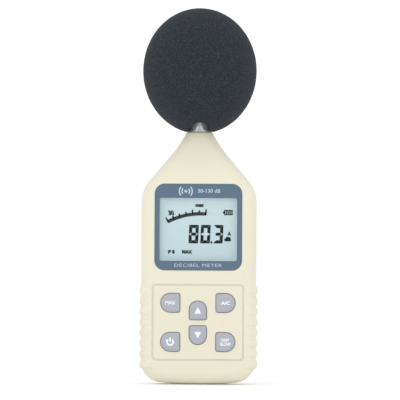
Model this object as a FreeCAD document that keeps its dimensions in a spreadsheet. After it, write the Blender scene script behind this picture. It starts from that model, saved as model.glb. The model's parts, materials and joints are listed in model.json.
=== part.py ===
"""Sound level meter: a hand-held instrument with a foam windscreen over its microphone.

Millimetres. +Z points up along the microphone, the display faces -Y, and X is to the right
when the display is read. The origin is the middle of the foot that the case stands on.
"""
import FreeCAD
import Part
import Sketcher
import math
import os
import re
from FreeCAD import Vector

# Every driving dimension: the name of its cell, its value and what it is.
DIMENSIONS = [
    # the case as one closed form
    ("body_half", 32.0, "half the width of the straight part of the case"),
    ("depth_half", 16.0, "half the depth of the case"),
    ("foot_radius", 208.0, "radius of the slightly curved foot"),
    ("foot_corner", 12.0, "radius of the two bottom corners, seen from the front"),
    ("side_top", 102.0, "height where the sides start to bend inwards"),
    ("shoulder_radius", 18.0, "radius of the shoulders"),
    ("shoulder_angle", 40.3, "slope of the shoulders, degrees from the vertical"),
    ("neck_start", 127.1, "height where the shoulders curve into the neck"),
    ("neck_radius", 70.0, "radius of the hollow curve of the neck"),
    ("face_top", 111.0, "height where the front and back faces start to lean inwards"),
    ("taper_radius", 36.0, "radius where the front and back faces bend"),
    ("taper_angle", 21.5, "lean of the front and back faces above the bend, degrees"),
    ("case_top", 141.0, "height of the top of the neck"),
    ("edge_radius", 6.5, "rounding of the long edges of the case"),
    ("rim_round", 1.2, "rounding of the rim at the top of the neck"),
    ("wall", 2.0, "wall thickness of the case"),
    ("parting", 1.0, "Y of the joint between the two shells"),
    ("parting_gap", 0.2, "gap of the joint line"),
    ("lip_deep", 1.2, "how far the front shell's lip reaches into the rear shell"),
    ("lip_play", 0.1, "gap round that lip"),
    ("collar_hole", 4.7, "radius of the hole in the top of the neck"),
    ("spare", 10.0, "how far a cutter runs past what it cuts"),
    ("short_spare", 0.5, "the same, where another form lies close behind"),
    ("bite", 0.1, "how far two forms run into each other where they join"),
    # grip ribs
    ("rib_out", 0.8, "how far the ribs stand proud of the sides"),
    ("rib_inner", 26.0, "X where the ribs fade into the front and back"),
    ("rib_height", 4.9, "height of one rib"),
    ("rib_round", 1.7, "rounding of a rib's upper and lower edges"),
    ("rib_corner", 6.7, "radius of the ribs round the corners of the case"),
    ("rib_low", 8.6, "bottom of the lowest rib"),
    ("rib_pitch", 5.9, "distance from rib to rib"),
    ("rib_count", 8, "ribs on each side"),
    # label frame and window
    ("label_half", 24.4, "half the width of the label frame"),
    ("label_low", 63.7, "bottom of the label frame"),
    ("label_high", 112.0, "top of the label frame"),
    ("label_thick", 0.45, "thickness of the label frame"),
    ("label_sunk", 0.05, "how far the label frame lies below the face"),
    ("label_gap", 0.1, "gap round the label frame"),
    ("label_corner", 5.6, "corner radius of the label frame"),
    ("sight_half", 21.6, "half the width of the clear area"),
    ("sight_low", 69.0, "bottom of the clear area"),
    ("sight_high", 104.1, "top of the clear area"),
    ("sight_corner", 0.9, "corner radius of the clear area"),
    ("pane_margin", 1.7, "how far the window runs under the label frame"),
    ("pane_thick", 1.3, "thickness of the window"),
    ("pane_gap", 0.1, "gap round the window"),
    ("ledge", 0.9, "width of the ledge that the window is bonded to"),
    ("ledge_thick", 1.0, "thickness of that ledge"),
    ("rim_wide", 3.6, "width of the thick rim round the clear area"),
    # liquid-crystal display
    ("lcd_half", 22.9, "half the width of the display glass"),
    ("lcd_low", 66.7, "bottom of the display glass"),
    ("lcd_high", 106.5, "top of the display glass"),
    ("lcd_front", -12.7, "Y of the front of the display glass"),
    ("glass_thick", 1.1, "thickness of each glass sheet"),
    ("contact_ledge", 2.0, "height of the contact ledges of the front glass"),
    ("film_thick", 0.2, "thickness of the polariser and of the reflector"),
    ("film_margin", 0.4, "how far the films stay inside the glass"),
    ("holder_wall", 1.1, "wall of the frame that holds the display"),
    ("holder_gap", 0.2, "gap between that frame and the glass"),
    ("zebra_inset", 0.15, "gap above and below the elastomer contact strips"),
    ("zebra_end", 1.0, "how far those strips stop short of the glass's ends"),
    # circuit board
    ("board_front", -7.5, "Y of the front face of the circuit board"),
    ("board_thick", 1.6, "thickness of the circuit board"),
    ("board_half", 27.5, "half the width of the circuit board"),
    ("board_low", 16.0, "bottom of the circuit board"),
    ("board_shoulder", 108.0, "height where the circuit board narrows"),
    ("board_top_half", 15.0, "half the width of the top of the circuit board"),
    ("board_high", 124.0, "top of the circuit board"),
    ("post_radius", 2.0, "radius of the posts under the circuit board"),
    ("post_side", 11.0, "X of the lower posts"),
    ("post_low", 59.8, "height of the lower posts"),
    ("post_side_high", 17.0, "X of the upper posts"),
    ("post_high", 112.0, "height of the upper posts"),
    ("board_screw_shank", 0.8, "radius of a circuit board screw"),
    ("board_screw_head", 1.6, "radius of a circuit board screw's head"),
    ("board_screw_reach", 5.0, "length of a circuit board screw under its head"),
    ("board_head_thick", 1.0, "thickness of a circuit board screw's head"),
    ("board_hole_play", 0.15, "gap round a circuit board screw in the board"),
    ("boss_play", 0.4, "gap round a boss where it passes the board"),
    # parts on the circuit board
    ("lead_half", 0.2, "half the width of a chip's lead"),
    ("lead_thick", 0.3, "thickness of a chip's lead"),
    ("lead_out", 1.0, "how far a chip's leads reach past its body"),
    ("chip_lift", 0.1, "gap under a chip's body"),
    ("chip_thick", 1.6, "height of a chip above the board"),
    ("processor_size", 10.0, "width and height of the processor"),
    ("processor_height", 86.0, "height of the middle of the processor"),
    ("amplifier_wide", 3.9, "width of an amplifier chip"),
    ("amplifier_tall", 4.9, "height of an amplifier chip"),
    ("crystal_left", 10.0, "X of the crystal can's left side"),
    ("crystal_wide", 4.5, "width of the crystal can"),
    ("crystal_low", 80.0, "bottom of the crystal can"),
    ("crystal_high", 91.0, "top of the crystal can"),
    ("crystal_thick", 3.4, "height of the crystal can above the board"),
    ("crystal_corner", 2.2, "corner radius of the crystal can"),
    ("can_radius", 2.5, "radius of an electrolytic capacitor"),
    ("can_long", 5.4, "height of an electrolytic capacitor"),
    ("resistor_wide", 1.6, "width of a chip resistor"),
    ("resistor_tall", 0.9, "height of a chip resistor"),
    ("resistor_thick", 0.6, "thickness of a chip resistor"),
    ("resistor_pitch", 3.5, "distance from resistor to resistor in a row"),
    ("resistor_row", 2.6, "distance from row to row"),
    ("resistor_high", 112.0, "height of the upper row of resistors"),
    # keys
    ("key_round", 5.2, "radius of the round end of a side key"),
    ("key_long", 10.5, "length of a side key"),
    ("arrow_round", 4.75, "radius of the round end of an arrow key"),
    ("arrow_long", 10.3, "length of an arrow key"),
    ("key_side", 15.4, "X of the middle of the side keys"),
    ("key_high", 45.6, "height of the upper side keys"),
    ("key_low", 23.8, "height of the lower side keys"),
    ("arrow_high", 41.4, "height of the upper arrow key"),
    ("arrow_low", 27.6, "height of the lower arrow key"),
    ("key_gap", 0.35, "gap between a key and its opening"),
    ("key_proud", 1.0, "how far a key stands proud of the face"),
    ("key_corner", 1.2, "radius of the two corners at a key's flat end"),
    ("bevel_wide", 1.1, "width of the bevel round a key's face"),
    ("bevel_deep", 0.65, "depth of the bevel round a key's face"),
    ("flange_out", 0.9, "how far a key's flange runs under the face"),
    ("flange_thick", 0.8, "thickness of a key's flange"),
    ("flange_play", 0.3, "gap between the flange and the shell"),
    ("stem_radius", 2.0, "radius of a key's stem"),
    ("stem_end", -8.8, "Y of the end of a key's stem"),
    ("dome_height", 0.4, "height of a snap dome"),
    ("dome_ball", 10.0, "radius of the ball that a snap dome is a cap of"),
    ("mat_half", 24.0, "half the width of the key mat"),
    ("mat_low", 17.0, "bottom of the key mat"),
    ("mat_high", 52.6, "top of the key mat"),
    ("mat_thick", 1.2, "thickness of the key mat"),
    ("mat_hole", 3.3, "radius of the holes in the key mat"),
    ("mat_corner", 2.0, "corner radius of the key mat"),
    # engraved frame round the keys
    ("panel_half", 25.7, "half the outer width of the engraved frame"),
    ("panel_low", 13.3, "bottom of the engraved frame"),
    ("panel_high", 56.1, "top of the engraved frame"),
    ("panel_corner", 2.6, "outer corner radius of the engraved frame"),
    ("groove_wide", 0.9, "width of the engraved line"),
    ("groove_deep", 0.35, "depth of the engraved line"),
    # case screws
    ("screw_side", 27.2, "X of the four lower case screws"),
    ("screw_low", 20.0, "height of the lowest case screws"),
    ("screw_mid", 60.3, "height of the middle case screws"),
    ("screw_side_high", 12.5, "X of the two upper case screws"),
    ("screw_high", 117.0, "height of the upper case screws"),
    ("screw_shank", 1.25, "radius of a case screw"),
    ("screw_head", 2.1, "radius of a case screw's head"),
    ("head_thick", 1.4, "thickness of a case screw's head"),
    ("cross_long", 1.35, "half the length of the cross in a case screw's head"),
    ("cross_thin", 0.3, "half the width of the arms of the cross"),
    ("cross_deep", 0.9, "depth of the cross"),
    ("head_play", 0.2, "gap round a case screw's head"),
    ("head_seat", 13.2, "Y that a case screw's head bears on"),
    ("screw_tip", -7.0, "Y of the end of a case screw"),
    ("screw_play", 0.05, "gap round a screw in its hole"),
    ("boss_radius", 3.0, "radius of a screw boss"),
    # battery compartment and its door
    ("cell_radius", 5.25, "radius of an AAA cell"),
    ("cell_length", 43.3, "length of an AAA cell's can"),
    ("cell_shoulder", 0.5, "bevel at both ends of the can"),
    ("nub_radius", 1.9, "radius of its positive nub"),
    ("nub_height", 1.0, "height of its positive nub"),
    ("cell_pitch", 11.0, "distance from cell to cell"),
    ("cell_depth", 8.2, "Y of the middle of the cells"),
    ("cell_play", 0.05, "gap between a cell's nub and its contact plate"),
    ("bay_half", 22.4, "half the width of the battery compartment"),
    ("bay_low", 13.0, "bottom of the battery compartment"),
    ("bay_high", 62.0, "top of the battery compartment"),
    ("bay_floor", 2.7, "Y of the floor of the battery compartment"),
    ("bay_wall", 2.6, "wall of the battery compartment"),
    ("bay_floor_thick", 1.4, "thickness of its floor"),
    ("door_half", 24.0, "half the width of the battery door"),
    ("door_high", 64.0, "top of the battery door"),
    ("door_inner", 14.05, "Y of the inner face of the battery door"),
    ("door_gap", 0.2, "gap round the battery door"),
    ("door_seat", 0.05, "gap behind the battery door"),
    ("door_corner", 1.2, "corner radius of the top of the battery door"),
    ("pivot_height", 12.0, "height of the battery door's pivot"),
    ("pin_radius", 0.6, "radius of the door's pins"),
    ("pin_long", 1.1, "length of the door's pins"),
    ("pin_play", 0.05, "gap round the door's pins"),
    ("latch_half", 5.5, "half the width of the door's latch"),
    ("latch_front", 14.2, "Y of the inner side of the latch"),
    ("latch_thick", 1.0, "thickness of the latch"),
    ("latch_reach", 1.0, "how far the latch runs under the shell"),
    ("latch_root", 4.0, "how far the latch runs down the door"),
    ("latch_play", 0.05, "gap at each side of the latch"),
    ("grip_line", 0.6, "width and depth of the lines on the door"),
    ("grip_half", 8.0, "half the length of the lines on the door"),
    ("grip_low", 54.0, "height of the lowest line on the door"),
    ("grip_pitch", 2.0, "distance from line to line"),
    ("pad_thick", 0.5, "thickness of the foam pad inside the door"),
    ("pad_half", 16.0, "half the width of the foam pad"),
    ("pad_low", 30.0, "bottom of the foam pad"),
    ("pad_high", 44.0, "top of the foam pad"),
    ("contact_thick", 0.3, "thickness of a battery contact plate"),
    ("contact_half", 4.6, "half the width of a battery contact plate"),
    ("contact_deep", 9.5, "depth of a battery contact plate"),
    ("lead_inset", 1.2, "how far the battery leads are from the compartment's corner"),
    ("spring_wire", 0.35, "radius of the battery springs' wire"),
    ("spring_base", 3.3, "radius of a battery spring's widest turn"),
    ("spring_pitch", 0.6, "rise of a battery spring in one turn"),
    ("spring_taper", 0.2, "how much smaller each turn of a battery spring is"),
    # tripod insert and rear plate
    ("tripod_height", 73.0, "height of the tripod insert"),
    ("tripod_radius", 2.6, "radius of the tripod thread"),
    ("insert_radius", 4.4, "outer radius of the tripod insert"),
    ("insert_long", 8.0, "length of the tripod insert"),
    ("plate_half", 19.0, "half the width of the rear plate"),
    ("plate_low", 82.0, "bottom of the rear plate"),
    ("plate_high", 106.0, "top of the rear plate"),
    ("plate_thick", 0.35, "thickness of the rear plate"),
    # sockets on the left side
    ("port_depth", -3.0, "Y of the sockets and of the trimmer"),
    ("port_face", 31.4, "X distance of the sockets' faces"),
    ("jack_height", 90.0, "height of the output jack"),
    ("jack_bore", 1.8, "radius of the output jack's bore"),
    ("port_collar", 2.6, "radius of the sockets' collars"),
    ("power_height", 78.0, "height of the power inlet"),
    ("trim_height", 99.0, "height of the calibration trimmer"),
    ("trim_hole", 1.5, "radius of the calibration hole"),
    ("rotor_radius", 1.1, "radius of the trimmer's rotor"),
    ("rotor_play", 0.05, "gap round the trimmer's rotor"),
    ("rotor_outer", 29.4, "X distance of the rotor's slotted end"),
    ("rotor_long", 2.0, "length of the trimmer's rotor"),
    ("rotor_slot", 0.2, "half the width of the rotor's slot"),
    ("slot_deep", 0.5, "depth of the rotor's slot"),
    ("trimmer_outer", 28.6, "X distance of the outer face of the trimmer"),
    ("trimmer_inner", 23.6, "X distance of its inner face"),
    ("trimmer_half", 2.6, "half the height of the trimmer"),
    ("trimmer_back", 2.4, "how far the trimmer reaches behind its middle"),
    ("socket_deep", 13.0, "how far a socket reaches in from its face"),
    ("socket_collar", 2.0, "length of a socket's collar"),
    ("socket_back", 2.7, "how far a socket reaches behind its middle"),
    ("socket_bore", 10.0, "depth of a socket's bore"),
    ("jack_tall", 6.4, "height of the output jack's body"),
    ("power_tall", 8.0, "height of the power inlet's body"),
    ("power_bore", 1.9, "radius of the power inlet's bore"),
    ("power_pin", 0.65, "radius of the power inlet's pin"),
    ("power_recess", 0.6, "how far that pin lies behind the inlet's face"),
    # microphone
    ("flange_radius", 6.5, "radius of the microphone collar"),
    ("collar_high", 142.2, "top of the collar's flange"),
    ("collar_bore", 3.0, "radius of the way through the collar"),
    ("collar_foot", 3.6, "how far the collar reaches into the case"),
    ("collar_lip", 0.5, "how far the collar's foot grips behind the wall"),
    ("collar_spigot", 5.0, "how far the collar reaches into the tube"),
    ("hair_gap", 0.05, "gap between pieces that sit in each other"),
    ("small_break", 0.3, "bevel at the ends of the turned metal parts"),
    ("tube_radius", 6.0, "outer radius of the microphone tube"),
    ("tube_bore", 5.2, "inner radius of the microphone tube"),
    ("tube_high", 170.0, "top of the microphone tube"),
    ("grid_high", 177.4, "top of the microphone's grid cap"),
    ("grid_thick", 0.7, "thickness of the grid cap"),
    ("slot_wide", 0.8, "width of a slot in the grid cap"),
    ("slot_field", 4.2, "radius of the slotted part of the grid cap"),
    ("insulator_high", 4.0, "height of the ring that carries the capsule"),
    ("insulator_wall", 0.9, "how far that ring reaches under the capsule"),
    ("terminal_radius", 1.2, "radius of the recess in the capsule's top"),
    ("terminal_deep", 0.5, "depth of the recess in the capsule's top"),
    ("capsule_radius", 4.9, "radius of the microphone capsule"),
    ("capsule_low", 171.0, "bottom of the capsule"),
    ("capsule_high", 176.2, "top of the capsule"),
    ("wire_radius", 0.4, "radius of the microphone wires"),
    ("wire_side", 0.9, "X of the microphone wires"),
    ("wire_depth", -2.2, "Y of the microphone wires"),
    ("plug_half", 4.0, "half the width of the microphone connector"),
    ("plug_low", 117.5, "bottom of the microphone connector"),
    ("plug_high", 123.0, "top of the microphone connector"),
    ("plug_back", -1.0, "Y of the back of the microphone connector"),
    # windscreen
    ("foam_radius", 31.8, "radius of the windscreen at its middle"),
    ("foam_half", 35.2, "half the height of the windscreen"),
    ("foam_middle", 175.2, "height of the windscreen's middle"),
    ("foam_bore", 6.3, "radius of the windscreen's bore"),
    ("foam_flare", 7.6, "radius of the bore's flared mouth"),
    ("flare_low", 142.0, "height where the flare starts"),
    ("flare_high", 145.0, "height where the flare ends"),
    ("bore_taper", 3.0, "bevel at the blind end of the bore"),
    ("bore_high", 181.0, "top of the windscreen's bore"),
]
NAMES = {row[0] for row in DIMENSIONS}
HAIR = 0.001    # a length well under every real one, for finding edges by their place
SHARP = math.radians(15)    # faces that meet at more than this make an edge to be rounded

doc = FreeCAD.newDocument("sound_level_meter")
sheet = doc.addObject("Spreadsheet::Sheet", "Sizes")
for row, (name, number, meaning) in enumerate(DIMENSIONS, 1):
    sheet.set(f"A{row}", name)
    sheet.set(f"B{row}", str(number))
    sheet.set(f"C{row}", meaning)
    sheet.setAlias(f"B{row}", name)
doc.recompute()
parts = {}


# ---------------------------------------------------------------- helpers

def formula(text):
    """Write a formula of cell names as an expression that reads the sheet."""
    def cell(word):
        return "Sizes." + word.group() if word.group() in NAMES else word.group()

    return re.sub(r"[a-z]\w*", cell, text)


def value(text):
    return float(sheet.evalExpression(formula(text)))


def bind(item, name, text):
    item.setExpression(name, formula(text))


def place(item, x="0", y="0", z="0"):
    for axis, text in zip("xyz", (x, y, z)):
        bind(item, "Placement.Base." + axis, text)


def keep(label, item):
    """Name a finished sub-part; its label is the name of its file."""
    item.Label = label
    parts[label] = item
    return item


def start_body(name):
    return doc.addObject("PartDesign::Body", name)


def start_sketch(body, role, offset="0"):
    """A sketch on an origin plane of its own body, moved along the plane's normal."""
    sketch = body.newObject("Sketcher::SketchObject", body.Name + "_sketch")
    plane = [item for item in body.Origin.OriginFeatures if item.Role == role][0]
    sketch.AttachmentSupport = [(plane, "")]
    sketch.MapMode = "FlatFace"
    bind(sketch, "AttachmentOffset.Base.z", offset)
    return sketch


def dimension(sketch, constraint, text):
    bind(sketch, f"Constraints[{sketch.addConstraint(constraint)}]", text)


def pin_point(sketch, geometry, end, x, y):
    """Fix one end of a piece of geometry at x, y from the sketch's origin."""
    dimension(sketch, Sketcher.Constraint("DistanceX", -1, 1, geometry, end, value(x)), x)
    dimension(sketch, Sketcher.Constraint("DistanceY", -1, 1, geometry, end, value(y)), y)


def polygon(sketch, points):
    """A closed outline of straight lines through points given as pairs of formulas."""
    spots = [Vector(value(x), value(y), 0) for x, y in points]
    count = len(spots)
    lines = [Part.LineSegment(spots[i], spots[(i + 1) % count]) for i in range(count)]
    first = sketch.addGeometry(lines, False)[0]
    for i, (x, y) in enumerate(points):
        sketch.addConstraint(Sketcher.Constraint("Coincident", first + i, 2, first + (i + 1) % count, 1))
        pin_point(sketch, first + i, 1, x, y)


def rectangle(sketch, xs, ys):
    polygon(sketch, [(xs[0], ys[0]), (xs[1], ys[0]), (xs[1], ys[1]), (xs[0], ys[1])])


def feature(body, kind, sketch=None, length=None):
    item = body.newObject("PartDesign::" + kind, f"{body.Name}_{kind}")
    if sketch:
        item.Profile = sketch
    if length:
        bind(item, "Length", length)
    return item


def dress_edges(kind, body, base, test):
    """A PartDesign Fillet or Chamfer on the edges of the base that pass the test."""
    doc.recompute()
    names = [f"Edge{i}" for i, edge in enumerate(base.Shape.Edges, 1) if test(edge)]
    item = feature(body, kind)
    item.Base = (base, names)
    return item


def round_edges(body, base, test, radius):
    item = dress_edges("Fillet", body, base, test)
    bind(item, "Radius", radius)
    return item


def along_y(edge):
    box = edge.BoundBox
    return box.YLength > HAIR and box.XLength < HAIR and box.ZLength < HAIR


def slab(name, front, back, draw, corner=None):
    """A plate parallel to the face of the meter, drawn in X and Z, from y=front to y=back."""
    body = start_body(name)
    sketch = start_sketch(body, "XZ_Plane", f"-({front})")
    draw(sketch)
    pad = feature(body, "Pad", sketch, f"({back}) - ({front})")
    pad.Reversed = True
    if corner:
        round_edges(body, pad, along_y, corner)
    return body


def plate(name, xs, zs, front, back, corner=None):
    return slab(name, front, back, lambda sketch: rectangle(sketch, xs, zs), corner)


def turned(name, points):
    """A solid turned about the Z axis from an outline of (radius, height) points."""
    body = start_body(name)
    sketch = start_sketch(body, "XZ_Plane")
    polygon(sketch, points)
    item = feature(body, "Revolution", sketch)
    item.ReferenceAxis = (sketch, ["V_Axis"])
    item.Angle = 360
    return body


def block(name, xs, ys, zs):
    item = doc.addObject("Part::Box", name)
    for side, (low, high) in zip(("Length", "Width", "Height"), (xs, ys, zs)):
        bind(item, side, f"({high}) - ({low})")
    place(item, xs[0], ys[0], zs[0])
    return item


TURNS = {"x": FreeCAD.Rotation(Vector(0, 1, 0), 90), "y": FreeCAD.Rotation(Vector(1, 0, 0), -90),
         "z": FreeCAD.Rotation()}


def rod(name, direction, radius, length, x="0", y="0", z="0"):
    """A cylinder that starts at x, y, z and runs along +X, +Y or +Z."""
    item = doc.addObject("Part::Cylinder", name)
    bind(item, "Radius", radius)
    bind(item, "Height", length)
    item.Placement = FreeCAD.Placement(Vector(), TURNS[direction])
    place(item, x, y, z)
    return item


def fuse(name, items):
    item = doc.addObject("Part::MultiFuse", name)
    item.Shapes = items
    return item


def cut(name, base, tools):
    item = doc.addObject("Part::Cut", name)
    item.Base = base
    item.Tool = tools[0] if len(tools) == 1 else fuse(name + "_tools", tools)
    return item


def common(name, base, tool):
    item = doc.addObject("Part::Common", name)
    item.Base = base
    item.Tool = tool
    return item


def group(name, items):
    """Several separate solids that share one node."""
    item = doc.addObject("Part::Compound", name)
    item.Links = items
    return item


# ---------------------------------------------------------------- case form

def case_outline(sketch, half, bend_height, bend_radius, angle, top, foot=None, neck=None):
    """Half-width, a bend at the shoulders, a straight slope and a flat top, the same on both sides.

    foot is the radius of a curved foot, and without one the outline runs straight below the case.
    neck is the height and radius of the hollow curve between the slope and the top.
    """
    lean = math.radians(value(angle))
    across, bend, radius, high = value(half), value(bend_height), value(bend_radius), value(top)
    centre = (across - radius, bend)
    slope_low = (centre[0] + radius * math.cos(lean), bend + radius * math.sin(lean))
    slope_top = value(neck[0]) if neck else high
    slope_high = (slope_low[0] - (slope_top - slope_low[1]) * math.tan(lean), slope_top)
    low = -value("spare")
    peak = slope_high
    if neck:
        hollow = value(neck[1])
        hub = (slope_high[0] + hollow * math.cos(lean), slope_high[1] + hollow * math.sin(lean))
        end = math.asin((hub[1] - high) / hollow)
        peak = (hub[0] - hollow * math.cos(end), high)
    if foot:
        low = value("foot_radius") - math.sqrt(value(foot) ** 2 - across ** 2)

    def line(start, finish):
        return Part.LineSegment(Vector(*start, 0), Vector(*finish, 0))

    def arc(middle, size, start, finish):
        return Part.ArcOfCircle(Part.Circle(Vector(*middle, 0), Vector(0, 0, 1), size), start, finish)

    def mirrored(point):
        return (-point[0], point[1])

    if foot:
        spread = math.asin(across / value(foot))
        base = arc((0, value("foot_radius")), value(foot), -math.pi / 2 - spread, -math.pi / 2 + spread)
    else:
        base = line((-across, low), (across, low))
    right = [line((across, low), (across, bend)), arc(centre, radius, 0, lean), line(slope_low, slope_high)]
    left = [line(mirrored(slope_high), mirrored(slope_low)),
            arc(mirrored(centre), radius, math.pi - lean, math.pi), line((-across, bend), (-across, low))]
    if neck:
        right.append(arc(hub, hollow, math.pi + end, math.pi + lean))
        left.insert(0, arc(mirrored(hub), hollow, -lean, -end))
    pieces = [base] + right + [line(peak, mirrored(peak))] + left
    sketch.addGeometry(pieces, False)

    count = len(pieces)
    side, bow, slope = 1, 2, 3
    peak_line = 5 if neck else 4
    far_side, far_bow, far_slope = count - 1, count - 2, count - 3
    enter = {index: (1, 2) for index in range(count)}
    tangent = {(side, bow), (bow, slope), (far_bow, far_side)}
    if neck:
        enter[4] = enter[6] = (2, 1)
        tangent |= {(slope, 4), (6, far_slope)}
    for index in range(count):
        after = (index + 1) % count
        kind = "Tangent" if (index, after) in tangent else "Coincident"
        sketch.addConstraint(Sketcher.Constraint(kind, index, enter[index][1], after, enter[after][0]))
    pairs = [(side, 1, far_side, 2), (side, 2, far_side, 1), (slope, 1, far_slope, 2),
             (peak_line, 1, peak_line, 2)]
    if neck:
        pairs.append((slope, 2, far_slope, 1))
    for one, one_end, other, other_end in pairs:
        sketch.addConstraint(Sketcher.Constraint("Symmetric", one, one_end, other, other_end, -2))
    sketch.addConstraint(Sketcher.Constraint("Vertical", side))
    pin_point(sketch, side, 2, half, bend_height)
    dimension(sketch, Sketcher.Constraint("Radius", bow, radius), bend_radius)
    dimension(sketch, Sketcher.Constraint("Angle", slope, math.pi / 2 + lean), f"90 + {angle}")
    dimension(sketch, Sketcher.Constraint("DistanceY", -1, 1, peak_line, 1, high), top)
    if neck:
        dimension(sketch, Sketcher.Constraint("DistanceY", -1, 1, slope, 2, slope_top), neck[0])
        dimension(sketch, Sketcher.Constraint("Radius", 4, hollow), neck[1])
    if foot:
        dimension(sketch, Sketcher.Constraint("Radius", 0, value(foot)), foot)
        dimension(sketch, Sketcher.Constraint("DistanceY", -1, 1, 0, 3, value("foot_radius")), "foot_radius")
    else:
        dimension(sketch, Sketcher.Constraint("DistanceY", -1, 1, side, 1, low), "-spare")


def is_sharp(shape, edge):
    """True where the two faces of an edge meet at an angle."""
    faces = shape.ancestorsOfType(edge, Part.Face)
    if len(faces) != 2:
        return False
    middle = edge.valueAt((edge.FirstParameter + edge.LastParameter) / 2)
    normals = [face.normalAt(*face.Surface.parameter(middle)) for face in faces]
    return normals[0].getAngle(normals[1]) > SHARP


def case_form(name, inset):
    """The outside of the case, or, with an inset, its hollow inside."""
    lean = "shoulder_angle"
    top = f"case_top - {inset}"
    side = start_body(name + "_side_view")
    sketch = start_sketch(side, "YZ_Plane")
    case_outline(sketch, f"depth_half - {inset}", "face_top", f"taper_radius - {inset}", "taper_angle", top)
    pad = feature(side, "Pad", sketch, "2 * body_half + spare")
    pad.Midplane = True
    body = start_body(name)
    sketch = start_sketch(body, "XZ_Plane")
    neck = (f"neck_start - {inset} * sin({lean} * 1 deg)", f"neck_radius + {inset}")
    case_outline(sketch, f"body_half - {inset}", "side_top", f"shoulder_radius - {inset}", lean, top,
                 f"foot_radius - {inset}", neck)
    pad = feature(body, "Pad", sketch, "2 * depth_half + spare")
    pad.Midplane = True
    round_edges(body, pad, lambda edge: along_y(edge) and edge.BoundBox.ZMax < value("spare"),
                f"foot_corner - {inset}")
    both = feature(body, "Boolean")
    both.setObjects([side])
    both.Type = "Common"
    doc.recompute()
    ceiling = value(top) - HAIR
    rounded = round_edges(body, both,
                          lambda edge: is_sharp(both.Shape, edge) and edge.BoundBox.ZMin < ceiling,
                          f"edge_radius - {inset}")
    if inset == "0":
        round_edges(body, rounded, lambda edge: edge.BoundBox.ZMin > ceiling, "rim_round")
    return body


def grip_ribs():
    """Rounded ribs that wrap round the front and back corners of the right side."""
    body = start_body("right_ribs")
    sketch = start_sketch(body, "XY_Plane", "rib_low")
    rectangle(sketch, ("rib_inner", "body_half + rib_out"), ("-depth_half", "depth_half"))
    pad = feature(body, "Pad", sketch, "rib_height")
    outer = value("body_half")

    def upright(edge):
        return edge.BoundBox.ZLength > HAIR and edge.BoundBox.XMin > outer

    corners = round_edges(body, pad, upright, "rib_corner")

    def rim(edge):
        return edge.BoundBox.ZLength < HAIR and edge.BoundBox.XMax > value("rib_inner") + HAIR

    rounded = round_edges(body, corners, rim, "rib_round")
    pattern = feature(body, "LinearPattern")
    pattern.Originals = [pad, corners, rounded]
    pattern.Direction = (sketch, ["N_Axis"])
    bind(pattern, "Length", "rib_pitch * (rib_count - 1)")
    bind(pattern, "Occurrences", "rib_count")
    body.Tip = pattern
    left = doc.addObject("Part::Mirroring", "left_ribs")
    left.Source = body
    left.Normal = Vector(1, 0, 0)
    return [body, left]


# ---------------------------------------------------------------- places

# The keys: name, middle X, middle Z, turn about Y of a key whose round end points up, arrow or not.
KEYS = [
    ("key_max", "-key_side", "key_high", -90, False),
    ("key_weighting", "key_side", "key_high", 90, False),
    ("key_up", "0", "arrow_high", 0, True),
    ("key_down", "0", "arrow_low", 180, True),
    ("key_power", "-key_side", "key_low", -90, False),
    ("key_response", "key_side", "key_low", 90, False),
]
CASE_SCREWS = [(sign + side, height)
               for side, height in (("screw_side", "screw_low"), ("screw_side", "screw_mid"),
                                    ("screw_side_high", "screw_high")) for sign in ("-", "")]
POSTS = [(sign + side, height)
         for side, height in (("post_side", "post_low"), ("post_side_high", "post_high"))
         for sign in ("-", "")]
CELLS = [f"({number} - 1.5) * cell_pitch" for number in range(4)]
LEADS = ("-bay_half + lead_inset", "bay_half - lead_inset")
SPRING_TURNS = 6
GRIP_LINES = 4
SLOTS_EACH_SIDE = 2
# Parts on the back of the circuit board: middle X and Z.
AMPLIFIERS = ((-8, 106), (8, 106), (0, 98))
CAPACITORS = ((-12, 74), (-6, 74), (13, 73))
PROCESSOR_LEADS = 11
AMPLIFIER_LEADS = 4
RESISTOR_COLUMNS = (-4, -3, -2, -1, 1, 2, 3, 4)
RESISTOR_ROWS = 2


# ---------------------------------------------------------------- keys

def key_slab(name, arrow, grow, front, back):
    """A D-shaped slab, round end up, made larger all round by grow."""
    radius = ("arrow_round" if arrow else "key_round") + f" + {grow}"
    half_long = ("arrow_long" if arrow else "key_long") + f" / 2 + {grow}"
    bend = f"{half_long} - ({radius})"

    def draw(sketch):
        across, low, high = value(radius), -value(half_long), value(bend)
        corners = [Vector(-across, high, 0), Vector(-across, low, 0), Vector(across, low, 0),
                   Vector(across, high, 0)]
        lines = [Part.LineSegment(one, other) for one, other in zip(corners, corners[1:])]
        cap = Part.ArcOfCircle(Part.Circle(Vector(0, high, 0), Vector(0, 0, 1), across), 0, math.pi)
        sketch.addGeometry(lines + [cap], False)
        sketch.addConstraint(Sketcher.Constraint("Coincident", 0, 2, 1, 1))
        sketch.addConstraint(Sketcher.Constraint("Coincident", 1, 2, 2, 1))
        sketch.addConstraint(Sketcher.Constraint("Tangent", 2, 2, 3, 1))
        sketch.addConstraint(Sketcher.Constraint("Tangent", 3, 2, 0, 1))
        sketch.addConstraint(Sketcher.Constraint("Horizontal", 1))
        sketch.addConstraint(Sketcher.Constraint("Vertical", 0))
        pin_point(sketch, 3, 3, "0", bend)
        dimension(sketch, Sketcher.Constraint("Radius", 3, across), radius)
        dimension(sketch, Sketcher.Constraint("DistanceY", -1, 1, 0, 2, low), f"-({half_long})")

    return slab(name, front, back, draw, f"key_corner + {grow}")


def set_key(item, x, z, turn):
    item.Placement = FreeCAD.Placement(Vector(), FreeCAD.Rotation(Vector(0, 1, 0), turn))
    place(item, x, "0", z)
    return item


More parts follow.
